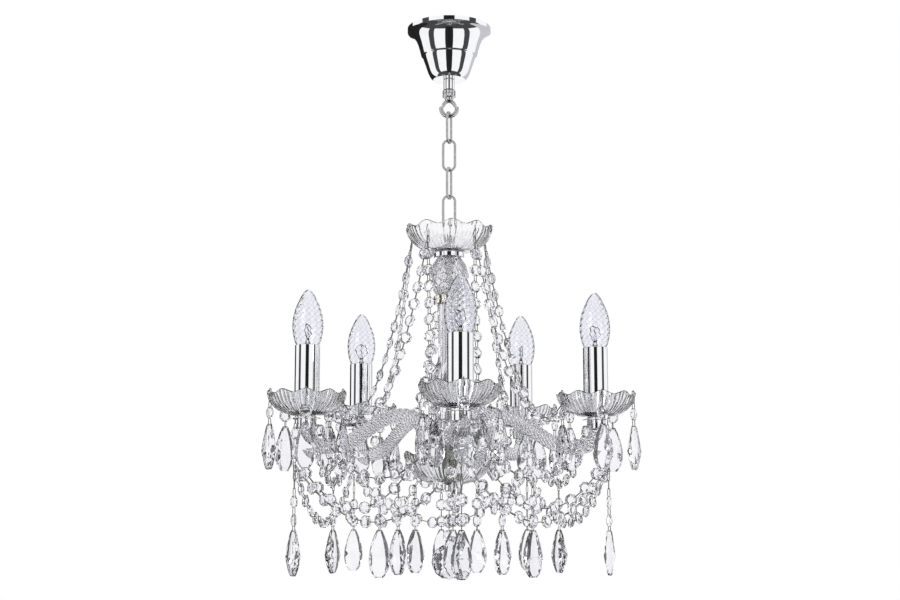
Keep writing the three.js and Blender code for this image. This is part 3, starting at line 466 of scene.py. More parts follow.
# %% Dishes
SCALLOPS = 10
RIBS = 54
WALL = 3.0
OUTER_RIB, INNER_RIB = 0.75, 0.3
RIM_CROWN = 0.9
RIM_SWING = 1.2
DISH_CURVE = [(0, 0), (0.2, 0.06), (0.38, 0.14), (0.53, 0.235), (0.66, 0.345), (0.76, 0.455),
              (0.84, 0.57), (0.91, 0.7), (0.96, 0.84), (1, 1)]


def dish_profile(foot, radius, bottom, depth, floor, bore):
    """Outside from the bore to the rim, a rounded rim, and back down the inside."""
    outside = [(foot + r * (radius - foot), bottom + h * depth) for r, h in DISH_CURVE]
    inside = []
    for i, (r, h) in enumerate(outside):
        r0, h0 = outside[max(i - 1, 0)]
        r1, h1 = outside[min(i + 1, len(outside) - 1)]
        length = hypot(r1 - r0, h1 - h0)
        inside.append((r - WALL * (h1 - h0) / length, h + WALL * (r1 - r0) / length))
    inside[0] = (foot - 1, bottom + floor)
    inside[-1] = (radius - 0.9 * WALL, bottom + depth - 0.1)
    rim = [(radius - share * WALL, bottom + depth + RIM_CROWN) for share in (0.25, 0.65)]
    return [(bore, bottom), *outside, *rim, *reversed(inside), (bore, bottom + floor)]


def dish(name, foot, radius, bottom, depth, floor, scallop, bore=4.3):
    def pressed(r, h, turn, i):
        wave = max((r - foot) / (radius - foot), 0) ** 2 * cos(SCALLOPS * turn) / 2
        outside = 1 <= i <= len(DISH_CURVE)
        depth_here = (OUTER_RIB if outside else INNER_RIB) * min(max((r - foot) / 6, 0), 1)
        rib = depth_here * (abs(sin(RIBS * turn / (2 if outside else 6))) - 1)
        return r + wave * RIM_SWING + rib, h + wave * scallop

    profile = dish_profile(foot, radius, bottom, depth, floor, bore)
    return ringed(name, profile, RIBS * 4, pressed)


for node, foot, radius, bottom, depth in (("top_dish", 18.4, 51, -273.35, 28),
                                          ("bottom_bowl", 18, 52.4, -542, 34)):
    glass = dish(f"{node}_glass", foot, radius, bottom, depth, floor=3.5, scallop=5)
    finish_piece(turned_about_z(glass, FIRST_ARM), pressed_glass, node)

# %% [markdown]
# ## The stem
# Between two chrome collars sits a cut glass ball, and below them a fluted glass column that
# narrows to a waist and swells again. A cutter's wheel leaves V grooves in the ball, in two
# families that cross, with diamonds between them. Both are bored wide, since glass close to the
# rod would show it as one dark bar.

# %% Collars, ball and column
upper_collar = turned("upper_collar_ring", [
    (4.3, -279.45), (16.9, -279.45), (17.65, -278.8), (17.65, -274.3), (16.9, -273.65), (4.3, -273.65)])
finish_piece(upper_collar, chrome, "upper_collar")
lower_collar = turned("lower_collar_ring", [
    (4.3, -334.65), (17.2, -334.65), (18, -333.9), (18, -330.4), (16.8, -329.9), (16.8, -329.4),
    (18, -328.9), (18, -325.4), (17.2, -324.65), (4.3, -324.65)])
finish_piece(lower_collar, brassy_chrome, "lower_collar")

STEM_BORE = 8.8
BALL_TOP, BALL_BOTTOM = -279.75, -324.35
BALL_NECK = 13.6
BALL_BULGE = 9.5
BALL_ROWS = 36
DIAMONDS_ROUND = 10
DIAMONDS_HIGH = 3
CUT_DEPTH, CUT_WIDTH = 1.5, 0.7

ball_side = [(BALL_NECK + BALL_BULGE * sin(pi * share) ** 0.8, BALL_TOP + (BALL_BOTTOM - BALL_TOP) * share)
             for share in (row / BALL_ROWS for row in range(BALL_ROWS + 1))]


def diamond_cuts(r, h, turn, i):
    """Two crossing families of V cuts, which leave diamonds between them."""
    rise = pi * DIAMONDS_HIGH * (h - BALL_TOP) / (BALL_BOTTOM - BALL_TOP)
    across = DIAMONDS_ROUND * turn / 2
    near = min(abs(sin(across + rise)), abs(sin(across - rise)))
    on_the_side = 1 < i < BALL_ROWS + 1
    return r - (CUT_DEPTH * max(1 - near / CUT_WIDTH, 0) if on_the_side else 0), h


stem_ball = ringed("stem_ball_cut", [(STEM_BORE, BALL_TOP), *ball_side, (STEM_BORE, BALL_BOTTOM)],
                   DIAMONDS_ROUND * 12, diamond_cuts)
finish_piece(stem_ball, pressed_glass, "stem_ball")

COLUMN_FLUTES = 12
COLUMN_FLUTE_DEPTH = 0.7
column_profile = [
    (STEM_BORE, -334.95), (13.2, -334.95), (14, -335.8), (14, -344), (13.6, -358), (12.9, -375),
    (12.5, -394.7), (13.6, -401), (16.6, -407), (20.2, -412.6), (22.3, -418.5), (22.4, -422),
    (21.3, -430), (19.4, -440.4), (17.2, -455), (16, -468.5), (16, -509.9), (15.2, -510.7),
    (STEM_BORE, -510.7)]


def fluted(r, h, turn, i):
    on_the_side = 2 <= i <= len(column_profile) - 3
    flute = COLUMN_FLUTE_DEPTH * cos(COLUMN_FLUTES * turn / 2) ** 2
    return r - (flute if on_the_side else 0), h


stem_column = ringed("stem_column_glass", column_profile, COLUMN_FLUTES * 10, fluted)
finish_piece(stem_column, pressed_glass, "stem_column")

# %% [markdown]
# The hub is a turned steel plate with five sockets round its edge, seen only as a dull shape
# through the bowl. The nut under the bowl clamps the stack, and its small ring carries the ball.

# %% Arm hub and bottom nut
SOCKET_CIRCLE = 29.8
hub_parts = [turned("hub_plate", [
    (4.3, -538.2), (12, -538.2), (12, -515), (32.4, -515), (33, -514.4), (33, -511.6), (32.4, -511),
    (4.3, -511)])]
for turn in ARM_TURNS:
    socket = turned("hub_socket", [
        (9.2, -510.8), (9.2, -499.3), (9.6, -499), (10.3, -499), (10.6, -499.3), (10.6, -514.6),
        (9.6, -515), (6, -515), (6, -510.8)], steps=40, x=SOCKET_CIRCLE)
    hub_parts.append(turned_about_z(socket, turn))
arm_hub = joined("arm_hub_plate", hub_parts)
finish_piece(arm_hub, hub_steel, "arm_hub")

NUT_RING = -552.7
nut_body = turned("nut_body", [
    (4.3, -547.9), (4.3, -542.3), (7.4, -542.3), (8, -543), (8, -548.4), (6.9, -550.1), (4, -550.5),
    (1.5, -550.5), (1.5, -547.9)], steps=48)
nut_ring = moved(wire_ring(3, 0.7, 24, 8), z=NUT_RING)
bottom_nut = clean_up(joined("bottom_nut_turned", [nut_body, nut_ring]))
finish_piece(bottom_nut, chrome, "bottom_nut")

# %% [markdown]
# ## The twisted arms
# A glass worker draws a ribbed rod from hot glass, twists it and bends it over a form. A curve
# does the same here: its path is the bent middle line, its bevel is the ribbed section, and the
# tilt that grows along it is the twist. It is then made a mesh, and an attribute marks how deep
# in a groove each point lies, for the painted shade that the finish puts in the grooves.

# %% The line of an arm
ARM_RADIUS = 8.3
ARM_LOBES = 10
ROPE_GROOVE = 0.14
TWIST_LENGTH = 62.0
CANDLE_CIRCLE = 170.0
ARCH = (55.0, -465.0)
DIP = (146.0, -502.0)
ARM_START = -510.7
ARM_RISE = -499.0
CUP_FOOT = -482.3
POINT_GAP = 2.4


def bezier(points, share):
    """A point on the Bezier curve of two, three or four control points."""
    points = [Vector(p) for p in points]
    while len(points) > 1:
        points = [a.lerp(b, share) for a, b in zip(points, points[1:])]
    return points[0]


def length_of(line):
    return sum((b - a).length for a, b in zip(line, line[1:]))


def point_at(line, distance):
    """The point at a distance along a polyline, and the direction there."""
    for a, b in zip(line, line[1:]):
        length = (b - a).length
        if distance <= length or b is line[-1]:
            return a.lerp(b, distance / length), (b - a).normalized()
        distance -= length


def arm_line():
    span = (DIP[0] - ARCH[0]) * 0.45
    legs = [
        [(SOCKET_CIRCLE, ARM_START), (SOCKET_CIRCLE, ARM_RISE)],
        [(SOCKET_CIRCLE, ARM_RISE), (SOCKET_CIRCLE, ARCH[1]), ARCH],
        [ARCH, (ARCH[0] + span, ARCH[1]), (DIP[0] - span, DIP[1]), DIP],
        [DIP, (CANDLE_CIRCLE, DIP[1]), (CANDLE_CIRCLE, CUP_FOOT + 0.8)],
    ]
    fine = [bezier(leg, i / 60) for leg in legs for i in range(61)]
    even = [point_at(fine, i * POINT_GAP)[0] for i in range(int(length_of(fine) // POINT_GAP) + 1)]
    return [Vector((p.x, 0, p.y)) for p in even]


# %% Arms
def tube_along(name, line, section, tilt_per_mm=0.0):
    """A curve along points in mm with a bevel section, made a mesh with closed ends."""
    outline = bpy.data.curves.new(f"{name}_section", "CURVE")
    ring = outline.splines.new("POLY")
    ring.points.add(len(section) - 1)
    for point, (a, b) in zip(ring.points, section):
        point.co = (a * MM, b * MM, 0, 1)
    ring.use_cyclic_u = True
    profile = new_object(f"{name}_section", outline)
    path = bpy.data.curves.new(name, "CURVE")
    path.dimensions = "3D"
    path.twist_mode = "MINIMUM"
    path.bevel_mode = "OBJECT"
    path.bevel_object = profile
    path.use_fill_caps = True
    spline = path.splines.new("POLY")
    spline.points.add(len(line) - 1)
    walked = 0.0
    for i, place in enumerate(line):
        walked += (place - line[i - 1]).length if i else 0
        spline.points[i].co = (*(place * MM), 1)
        spline.points[i].tilt = walked * tilt_per_mm
    select_only(new_object(name, path))
    bpy.ops.object.convert(target="MESH")
    bpy.data.objects.remove(profile)
    return clean_up(bpy.context.active_object)


rope_section = []
for step in range(ARM_LOBES * 6):
    turn = 2 * pi * step / (ARM_LOBES * 6)
    r = ARM_RADIUS * (1 - ROPE_GROOVE * (1 - abs(sin(ARM_LOBES * turn / 2)) ** 0.8))
    rope_section.append((r * cos(turn), r * sin(turn)))
arm_middle = arm_line()
arm_glass = tube_along("arm_glass", arm_middle, rope_section, 2 * pi / TWIST_LENGTH)
# The mark sets how much painted shade the finish puts in the rope's grooves.
rope_groove_shade_mark = arm_glass.data.attributes.new("groove", "FLOAT", "POINT")
for point, mark in zip(arm_glass.data.vertices, rope_groove_shade_mark.data):
    out = min((point.co / MM - place).length for place in arm_middle)
    mark.value = min(max((1 - out / ARM_RADIUS) / ROPE_GROOVE, 0), 1) ** 1.5
on_each_arm(arm_glass, "arm", "glass", rope_glass)

# %% [markdown]
# A chrome cup is glued over the end of the arm. Strings hook in under its flange at three
# places, one outwards and two back towards the stem. On the cup stands the candle, a plain
# chrome sleeve in the glass pan.

# %% Metal cups and candle sleeves
arm_cup = turned("arm_cup", [
    (5.3, -477.3), (5.3, -468.3), (9.9, -468.3), (10.5, -468.9), (10.5, -470.7), (15.1, -470.7),
    (15.5, -471.1), (15.5, -471.7), (15.1, -472.1), (10.5, -472.1), (10.5, -481.4), (9.6, -482.3),
    (7, -482.3), (7, -477.3)], steps=56, x=CANDLE_CIRCLE)
on_each_arm(arm_cup, "arm", "cup", chrome)
sleeve = turned("candle_sleeve", [
    (13.2, -463.7), (14, -463.7), (14, -390.2), (13.8, -390), (13.2, -390)], x=CANDLE_CIRCLE)
on_each_arm(sleeve, "candle_sleeve", "tube", chrome)

# %% [markdown]
# ## Bulbs
# The bulb is blown in a mould with twisted flutes. The inside of its thin wall is plain, as it
# never touched the mould. The flutes are made straight first and marked for painted groove shade.
# Then the points are turned, more the higher they lie, so that mesh edges run along the grooves.

# %% Bulb glass
BULB_FLUTES = 14
FLUTE_DEPTH = 0.014
BULB_BOTTOM = -389.7
BULB_HEIGHT = 62.7
BULB_WALL = 1.2
BULB_TWIST = 4.2
BULB_TIP = 0.01
BULB_OUTLINE = [
    (12.6, 0), (14.0, 0.04), (15.3, 0.1), (16.3, 0.17), (17.1, 0.25), (17.5, 0.34), (17.2, 0.43),
    (16.3, 0.53), (14.9, 0.62), (13.0, 0.71), (11.0, 0.78), (8.9, 0.85), (6.9, 0.91), (5.3, 0.95),
    (3.5, 0.979), (1.9, 0.994), (BULB_TIP, 1)]


def smoothed(outline):
    """Adds a point in the middle of each gap, on a smooth curve through the outline."""
    points = [Vector(p) for p in (outline[0], *outline, outline[-1])]
    fine = []
    for before, a, b, after in zip(points, points[1:], points[2:], points[3:]):
        fine += [a, (9 * (a + b) - before - after) / 16]
    return [*fine, outline[-1]]


outer_bulb = [(r, BULB_BOTTOM + h * BULB_HEIGHT) for r, h in smoothed(BULB_OUTLINE)]
inner_bulb = [(max(r - BULB_WALL, BULB_TIP), h - BULB_WALL * (h - BULB_BOTTOM) / BULB_HEIGHT)
              for r, h in outer_bulb]


def straight_flutes(r, h, turn, i):
    share = (h - BULB_BOTTOM) / BULB_HEIGHT
    fade = min(max(share, 0) / 0.12, 1) * min((1 - share) / 0.1, 1)
    groove = abs(sin(BULB_FLUTES * turn / 2)) - 1
    on_the_outside = i < len(outer_bulb)
    return r * (1 + FLUTE_DEPTH * fade * groove if on_the_outside else 1), h


bulb_glass = ringed("bulb_glass", [*outer_bulb, *reversed(inner_bulb)], BULB_FLUTES * 8,
                    straight_flutes, x=CANDLE_CIRCLE)
bulb_axis = Vector((CANDLE_CIRCLE * MM, 0, 0))
bulb_groove_shade_mark = bulb_glass.data.attributes.new("groove", "FLOAT", "POINT")
# The mark on the outside sets the painted shade that the finish puts along each flute's groove.
for point, mark in zip(bulb_glass.data.vertices, bulb_groove_shade_mark.data):
    x, y, z = (point.co - bulb_axis) / MM
    share = (z - BULB_BOTTOM) / BULB_HEIGHT
    if point.normal.dot((x, y, 2)) >= 0:
        near = 1 - 2.5 * abs(sin(BULB_FLUTES * atan2(y, x) / 2))
        mark.value = max(near, 0) * min(max((0.97 - share) / 0.1, 0), 1)
for point in bulb_glass.data.vertices:
    share = (point.co.z / MM - BULB_BOTTOM) / BULB_HEIGHT
    point.co = bulb_axis + Matrix.Rotation(BULB_TWIST * share, 3, "Z") @ (point.co - bulb_axis)
bulb_glass.data.update()
on_each_arm(bulb_glass, "bulb", "glass", fluted_glass, loose=True)

# %% [markdown]
# Inside the bulb a glass stem carries a small cage of thin wire. The screw cap sits in the lamp
# holder, and its rolled thread is a row of round ridges.

# %% Filaments and caps
def in_bulb(x, y, z):
    return Vector((CANDLE_CIRCLE + x, y, z))


stem_glass = turned_solid("bulb_stem", [
    (5, -392.5), (3.4, -388), (1.8, -384), (1.5, -378), (1.9, -376.8)], steps=20)
on_each_arm(moved(stem_glass, x=CANDLE_CIRCLE), "bulb", "stem", blown_glass, loose=True)

CAGE = 3.8
CAGE_WIRE = 0.4
CAGE_TOP = -368
half_circle = [i * pi / 16 for i in range(17)]
LEG = [(1.2, -384), (5, -374.5), (CAGE, CAGE_TOP)]
lines = [[in_bulb(side * out, side * out, height) for out, height in LEG] for side in (-1, 1)]
lines.append([in_bulb(CAGE * cos(a), CAGE * cos(a) + 1.2 * sin(2 * a), CAGE_TOP + 2 * sin(a))
              for a in half_circle])
lines.append([in_bulb(0, 0, -377), in_bulb(0, 0.4, -366)])
round_wire = [(CAGE_WIRE * cos(a), CAGE_WIRE * sin(a)) for a in (i * pi / 3 for i in range(6))]
cage = [tube_along(f"cage_wire_{i}", line, round_wire) for i, line in enumerate(lines)]
bpy.ops.object.select_all(action="DESELECT")
bpy.ops.mesh.primitive_uv_sphere_add(segments=12, ring_count=8, radius=1.4 * MM,
                                     location=(CANDLE_CIRCLE * MM, 0, -383 * MM))
bpy.ops.object.transform_apply(location=True, rotation=True, scale=True)
filament = joined("bulb_filament", [*cage, bpy.context.active_object])
on_each_arm(filament, "bulb", "filament", tungsten, loose=True)

cap_rows = [(6.8 - 0.7 * (row % 2), -418.5 + row * 1.6) for row in range(14)]
cap = turned_solid("bulb_cap", [
    (2.5, -421), (5.9, -419.6), *cap_rows, (6.4, -395), (11.4, -390.3), (11.4, -389.9)], steps=32)
on_each_arm(moved(cap, x=CANDLE_CIRCLE), "bulb", "cap", brass_cap, loose=True)

# %% [markdown]
# ## Crystals
# The strings are made of octagon beads, 14 mm across, cut flat on both faces with sloping
# facets round them. One bead is modelled: an eight-sided disc whose two faces are inset and
# pulled out. Hundreds of copies follow, so it keeps to a few dozen faces.

# %% One octagon bead
bpy.ops.object.select_all(action="DESELECT")
bpy.ops.mesh.primitive_cylinder_add(vertices=8, radius=7.2 * MM, depth=1.8 * MM,
                                    rotation=(pi / 2, pi / 8, 0))
bead = bpy.context.active_object
bpy.ops.object.transform_apply(location=True, rotation=True, scale=True)
for side in (-1, 1):
    with editing(bead):
        bpy.ops.mesh.select_all(action="DESELECT")
        work = bmesh.from_edit_mesh(bead.data)
        for face in work.faces:
            face.select = side * face.normal.y > 0.9
        bmesh.update_edit_mesh(bead.data)
        for inset, out in ((1.6, 1.2), (1.8, 0.8)):
            bpy.ops.mesh.inset(thickness=inset * MM)
            bpy.ops.transform.translate(value=(0, side * out * MM, 0))
clean_up(bead, smooth=False)
print("bead:", len(bead.data.polygons), "faces,", [round(v / MM, 1) for v in bead.dimensions], "mm")

# %% [markdown]
# The almond drops are 50 mm long. Each face has two broad tables, which meet in a level ridge
# below the middle, and small facets run round the edge. The corners of a quarter are set out,
# mirrored four ways and wrapped by the Convex Hull operator. The ball is wrapped too, from
# rings that are each turned half a step from the last. A pin is pulled long as the links are.

# %% One almond, the ball and one wire pin
TABLE = [(1.9, 3.1, -2.5), (4.2, 4.0, -9), (6.3, 5.1, -18), (7.9, 6.4, -29), (8.0, 5.1, -36),
         (6.7, 3.9, -42.5), (3.4, 2.8, -48.6)]
EDGE = [(2.6, 1.2, 0), (5.9, 2.2, -7.5), (8.6, 3.0, -16), (10.4, 3.5, -25), (10.8, 3.2, -33),
        (10.0, 2.8, -39.5), (7.8, 2.1, -45.2), (4.0, 1.3, -50)]
GIRDLE = [(4.3, 0, -3.6), (7.6, 0, -11.6), (9.9, 0, -20.5), (11, 0, -29.5), (10.8, 0, -36.5),
          (9.2, 0, -42.6), (6.1, 0, -48)]


def wrapped(name, corners, **joining):
    """The flat facets that wrap a set of corners."""
    crystal = mesh_object(name, corners)
    with editing(crystal):
        bpy.ops.mesh.convex_hull(delete_unused=True, **joining)
    return clean_up(crystal, smooth=False)


corners = {(x * a, y * b, z) for x, y, z in (*TABLE, *EDGE, *GIRDLE) for a in (-1, 1) for b in (-1, 1)}
almond = wrapped("almond", sorted(corners), join_triangles=True, face_threshold=radians(1),
                 shape_threshold=radians(179))

BALL_RADIUS = 20.0
BALL_SIDES = 12
corners = []
for row, rise in enumerate(radians(t) for t in (-90, -66, -42, -20, 0, 20, 42, 66, 90)):
    across = BALL_RADIUS * cos(rise)
    at_a_pole = across < 0.05
    for step in range(1 if at_a_pole else BALL_SIDES):
        turn = 2 * pi * (step + 0.5 * (row % 2)) / BALL_SIDES
        corners.append((across * cos(turn), across * sin(turn), BALL_RADIUS * sin(rise)))
cut_ball = wrapped("cut_ball", corners, join_triangles=False)

pin = pulled_apart(wire_ring(1.3, 0.5, 10, 4), 3.0)
print("almond:", len(almond.data.polygons), "facets, ball:", len(cut_ball.data.polygons))

# %% [markdown]
# ## Strings
# A string hangs in a curve, so its line is a parabola with the sag of the real one. Beads
# are set along it at an even pitch, each turned a little as loose beads turn, and wire pins
# join them. The copies are gathered into one mesh for the crystals and one for the wire.

# %% A strand of crystals and pins
UP, DOWN = Vector((0, 0, 1)), Vector((0, 0, -1))
ALONG_X, ALONG_Y = Vector((1, 0, 0)), Vector((0, 1, 0))
BEAD_PITCH = 20.0
BEAD_REACH = 5.6
PIN_PITCH = 10.0
PIN_REACH = 8.0
IN_THE_ALMOND = 2.0
TWISTS = [0.0, 0.2, -0.12, 0.3, -0.25, 0.08, -0.32, 0.16, -0.06, 0.26, -0.18]


def at_height(place, height):
    """The point straight above or below a place."""
    return Vector((place.x, place.y, height))


class Strand:
    """Gathers copies of crystals and wire pins, in mm. Its count picks the twist of a bead."""

    def __init__(self, count=0):
        self.crystals = bmesh.new()
        self.wires = bmesh.new()
        self.count = count

    def add(self, target, pattern, place, down, side, twist=0.0, stretch=1.0):
        """Adds a copy with its long axis along down and its flat faces looking along side."""
        z = (-down).normalized()
        y = (side - z * z.dot(side)).normalized()
        basis = Matrix((y.cross(z), y, z)).transposed().to_4x4()
        turn = Matrix.Rotation(twist, 4, "Z")
        size = Matrix.Diagonal((1, 1, stretch, 1))
        copy = pattern.data.copy()
        copy.transform(Matrix.Translation(place * MM) @ basis @ turn @ size)
        target.from_mesh(copy)
        bpy.data.meshes.remove(copy)

    def bead(self, place, along, side):
        self.count += 1
        self.add(self.crystals, bead, place, along, side, TWISTS[self.count % len(TWISTS)])

    def almond(self, place, side, twist):
        self.add(self.crystals, almond, place, DOWN, side, twist)

    def pins(self, a, b, side):
        """Wire pins that span two points, each hooked into the last at a right angle."""
        length = (b - a).length
        count = max(round(length / PIN_PITCH), 1)
        for i in range(count if length > 1 else 0):
            middle = a.lerp(b, (i + 0.5) / count)
            self.add(self.wires, pin, middle, b - a, side, (i + 1) * pi / 2, length / count / PIN_REACH)

    def plumb_pins(self, place, top, bottom, side):
        """Pins between two heights, straight above or below a place."""
        self.pins(at_height(place, top), at_height(place, bottom), side)

    def finish(self, node, angle=0.0, body=FRAME_BODY):
        """Makes the two meshes and turns them to their place."""
        for kind, work, material in (("crystals", self.crystals, cut_crystal),
                                     ("wires", self.wires, pin_wire)):
            mesh = bpy.data.meshes.new(f"{node}_{kind}")
            work.to_mesh(mesh)
            work.free()
            piece = turned_about_z(new_object(f"{node}_{kind}", mesh), angle)
            if kind == "wires":
                select_only(piece)
                bpy.ops.object.shade_smooth()
            finish_piece(piece, material, node, body)


# %% Lines of strings
LINE_STEPS = 120


def hanging_line(start, end, sag):
    low = (start + end) / 2 - UP * (2 * sag)
    return [bezier([start, low, end], i / LINE_STEPS) for i in range(LINE_STEPS + 1)]


def side_of(line):
    """The level direction square to the upright plane of a line."""
    side = Vector((line[-1].y - line[0].y, line[0].x - line[-1].x, 0))
    return side.normalized() if side.length > 0.1 else ALONG_Y


def string_beads(strand, line, lead=0.0, tail=0.0, turn=0.0):
    """Beads at an even pitch along a line, with pins between them and at both ends.

    Their flat faces look along the line's side, or away from it by a turn about the line."""
    beaded = length_of(line) - lead - tail
    count = max(round(beaded / BEAD_PITCH), 1)
    pitch = beaded / count
    side = side_of(line)
    above = line[0]
    for i in range(count):
        middle = lead + (i + 0.5) * pitch
        strand.pins(above, point_at(line, middle - BEAD_REACH)[0], side)
        place, along = point_at(line, middle)
        strand.bead(place, along, side * cos(turn) + side.cross(along) * sin(turn))
        above = point_at(line, middle + BEAD_REACH)[0]
    strand.pins(above, line[-1], side)


def plumb_almond(strand, top, row_top, side, twist):
    """Beads straight down from a point, and an almond whose top is at row_top.

    Loose drops turn on their pins, and twist says how far, in degrees."""
    almond_pin = 7
    run = top.z - row_top
    beads = int((run - almond_pin) // BEAD_PITCH)
    first = run - (beads - 0.5) * BEAD_PITCH
    above = top.z
    for i in range(beads):
        height = top.z - first - i * BEAD_PITCH
        strand.bead(at_height(top, height), DOWN, side)
        strand.plumb_pins(top, above, height + BEAD_REACH, side)
        above = height - BEAD_REACH
    strand.plumb_pins(top, above, row_top - IN_THE_ALMOND, side)
    strand.almond(at_height(top, row_top), side, radians(twist))


# %% [markdown]
# Each pan under a candle carries five almonds on wire pins through holes in its rim, each under
# one octagon bead, and the almonds face outwards. The two holes on the stem's side also take
# the ends of the upper garlands, so their almonds are made with those.

# %% Pans and their drops
CANDLE = CANDLE_CIRCLE * ALONG_X
PAN_HOLES = 42.0
HOLE_STEP = 2 * pi / 5
RIM_TOP = -440.2
RIM_PIN = -453.0
PENDANT_BEAD = -466.0
PENDANT_ALMOND = -478.0
PENDANT_TWIST = 0.4


def pendant(strand, place, outwards):
    """A pin through the rim, a bead and an almond under it."""
    strand.plumb_pins(place, RIM_TOP, RIM_PIN, outwards)
    strand.bead(at_height(place, PENDANT_BEAD), DOWN, outwards)
    strand.plumb_pins(place, RIM_PIN, PENDANT_BEAD + BEAD_REACH, outwards)
    strand.plumb_pins(place, PENDANT_BEAD - BEAD_REACH, PENDANT_ALMOND - IN_THE_ALMOND, outwards)
    twist = TWISTS[strand.count % len(TWISTS)] * PENDANT_TWIST
    strand.almond(at_height(place, PENDANT_ALMOND), outwards, twist)


pan = dish("pan_glass", 16, 44.5, -468, 24, floor=4, scallop=4, bore=5.3)
on_each_arm(moved(pan, x=CANDLE_CIRCLE), "bobeche", "pan", pressed_glass)
for arm, turn in enumerate(ARM_TURNS, start=1):
    strand = Strand(arm)
    for hole_turn in (-HOLE_STEP, 0, HOLE_STEP):
        outwards = Vector((cos(hole_turn), sin(hole_turn), 0))
        pendant(strand, CANDLE + outwards * PAN_HOLES, outwards)
    strand.finish(f"bobeche_{arm}", turn)

# %% [markdown]
# The upper garlands start in pairs at one hole of the top dish and run down to the two pans
# beside it. They hang slack, dip below the rim of the pan and come up to its inner hole. Where
# they leave the dish their beads face outwards, like the almonds.

# %% Upper garlands
TOP_HOLES = 45.5
TOP_STRING = -260
TOP_HOOK = 13
PAN_STRING = -454.9
UPPER_SAG = 85
for number, turn in enumerate(BETWEEN_TURNS, start=1):
    strand = Strand(number)
    start = Vector((TOP_HOLES, 0, TOP_STRING))
    strand.pins(start + UP * TOP_HOOK, start, ALONG_Y)
    for side in (1, -1):
        toward = Matrix.Rotation(side * ARM_STEP / 2, 3, "Z")
        outwards = toward @ Vector((cos(2 * HOLE_STEP), -side * sin(2 * HOLE_STEP), 0))
        end = toward @ CANDLE + outwards * PAN_HOLES
        pendant(strand, end, outwards)
        line = hanging_line(start, at_height(end, PAN_STRING), UPPER_SAG)
        string_beads(strand, line, lead=12, tail=6, turn=side_of(line).angle(ALONG_X))
    strand.finish(f"upper_garland_{number}", turn)

# %% [markdown]
# The inner garlands swing from cup to cup under the arms, each with an almond at its lowest
# point.

# %% Inner garlands
CUP_HOOKS = -477.1
HOOK_RISE = 7.5
HOOK_CIRCLE = 12.9
HOOK_TURN = radians(120)
ALMOND_ROW = -593.0
SWAG_SAG = 62
SWAG_TWISTS = [-8, 5, 0, -6, 24]
for number, turn in enumerate(BETWEEN_TURNS, start=1):
    strand = Strand()
    ends = []
    for side in (1, -1):
        hook = HOOK_CIRCLE * Vector((cos(HOOK_TURN), -side * sin(HOOK_TURN), 0))
        place = Matrix.Rotation(side * ARM_STEP / 2, 3, "Z") @ (CANDLE + hook)
        ends.append(at_height(place, CUP_HOOKS))
        strand.pins(ends[-1] + UP * HOOK_RISE, ends[-1], ALONG_Y)
    swag = hanging_line(*ends, SWAG_SAG)
    string_beads(strand, swag)
    plumb_almond(strand, swag[LINE_STEPS // 2], ALMOND_ROW, ALONG_X, SWAG_TWISTS[number - 1])
    strand.finish(f"inner_garland_{number}", turn)

# %% [markdown]
# The lower garland is one net. From the outer side of each cup a string comes down to a small
# ring. There two outer swags, one string in to the rim of the bowl and the drop string meet.

# %% Lower garland and drops
SWAG_TOP = -523.0
STRING_AXIS = CANDLE_CIRCLE + HOOK_CIRCLE
BOWL_HOLES = 46.9
BOWL_STRING = -523.4
BOWL_HOOK = 8
INNER_ROW = 62.0
RING = 3.0
BOWL_SAG = 52
RADIAL_TWISTS = [4, -38, 10, -8, 30]
DROP_TWISTS = [-10, 6, 18, -24, 4]
net = Strand()
ring = Vector((STRING_AXIS, 0, SWAG_TOP))
for turn, twist in zip(ARM_TURNS, RADIAL_TWISTS):
    here, next_arm = (Matrix.Rotation(angle, 3, "Z") for angle in (turn, turn + ARM_STEP))
    outwards, tangent = here @ ALONG_X, here @ ALONG_Y
    top = here @ at_height(ring, CUP_HOOKS)
    end = here @ (ring + UP * RING)
    net.pins(top + UP * HOOK_RISE, top, tangent)
    for share in (0.25, 0.75):
        net.bead(top.lerp(end, share), DOWN, outwards)
    for above, below in ((0, 0.12), (0.38, 0.62), (0.88, 1)):
        net.pins(top.lerp(end, above), top.lerp(end, below), outwards)
    net.pins(end, here @ (ring - UP * RING), outwards)
    outer_swag = hanging_line(here @ (ring + ALONG_Y * RING), next_arm @ (ring - ALONG_Y * RING), SWAG_SAG)
    string_beads(net, outer_swag, lead=5, tail=5)
    hole = here @ Vector((BOWL_HOLES, 0, BOWL_STRING))
    net.pins(hole + UP * BOWL_HOOK, hole, tangent)
    radial = hanging_line(hole, end + UP * BOWL_HOOK, BOWL_SAG)
    string_beads(net, radial, tail=13)
    share = (INNER_ROW - BOWL_HOLES) / (STRING_AXIS - BOWL_HOLES)
    plumb_almond(net, radial[round(LINE_STEPS * share)], ALMOND_ROW, outwards, twist)
net.finish("lower_garland")

UNDER_THE_RING = 6.5
DROP_PIN_RISE, BALL_PIN_RISE = 4.4, 4
PIN_FALL = 2
drop_top = ring - UP * UNDER_THE_RING
for arm, (turn, twist) in enumerate(zip(ARM_TURNS, DROP_TWISTS), start=1):
    strand = Strand()
    strand.pins(drop_top + UP * DROP_PIN_RISE, drop_top - UP * PIN_FALL, ALONG_X)
    plumb_almond(strand, drop_top, ALMOND_ROW, ALONG_X, twist)
    strand.finish(f"drop_{arm}", turn, f"drop_{arm}")

# %% Crystal ball on its two beads
strand = Strand()
string_top, ball_top, ball_middle = (Vector((0, 0, height)) for height in (-556.6, -609, -629))
strand.pins(string_top + UP * BALL_PIN_RISE, string_top - UP * PIN_FALL, ALONG_X)
string_beads(strand, [string_top, ball_top])
strand.add(strand.crystals, cut_ball, ball_middle, DOWN, ALONG_Y)
strand.finish("crystal_ball", body="ball")
for pattern in (bead, almond, pin, cut_ball):
    bpy.data.objects.remove(pattern)

# %% [markdown]
# ## Solids that stay
# The ceiling strap inside the canopy and the lamp holders inside the sleeves keep the solid
# model's own shape, because only a finish is missing from them.

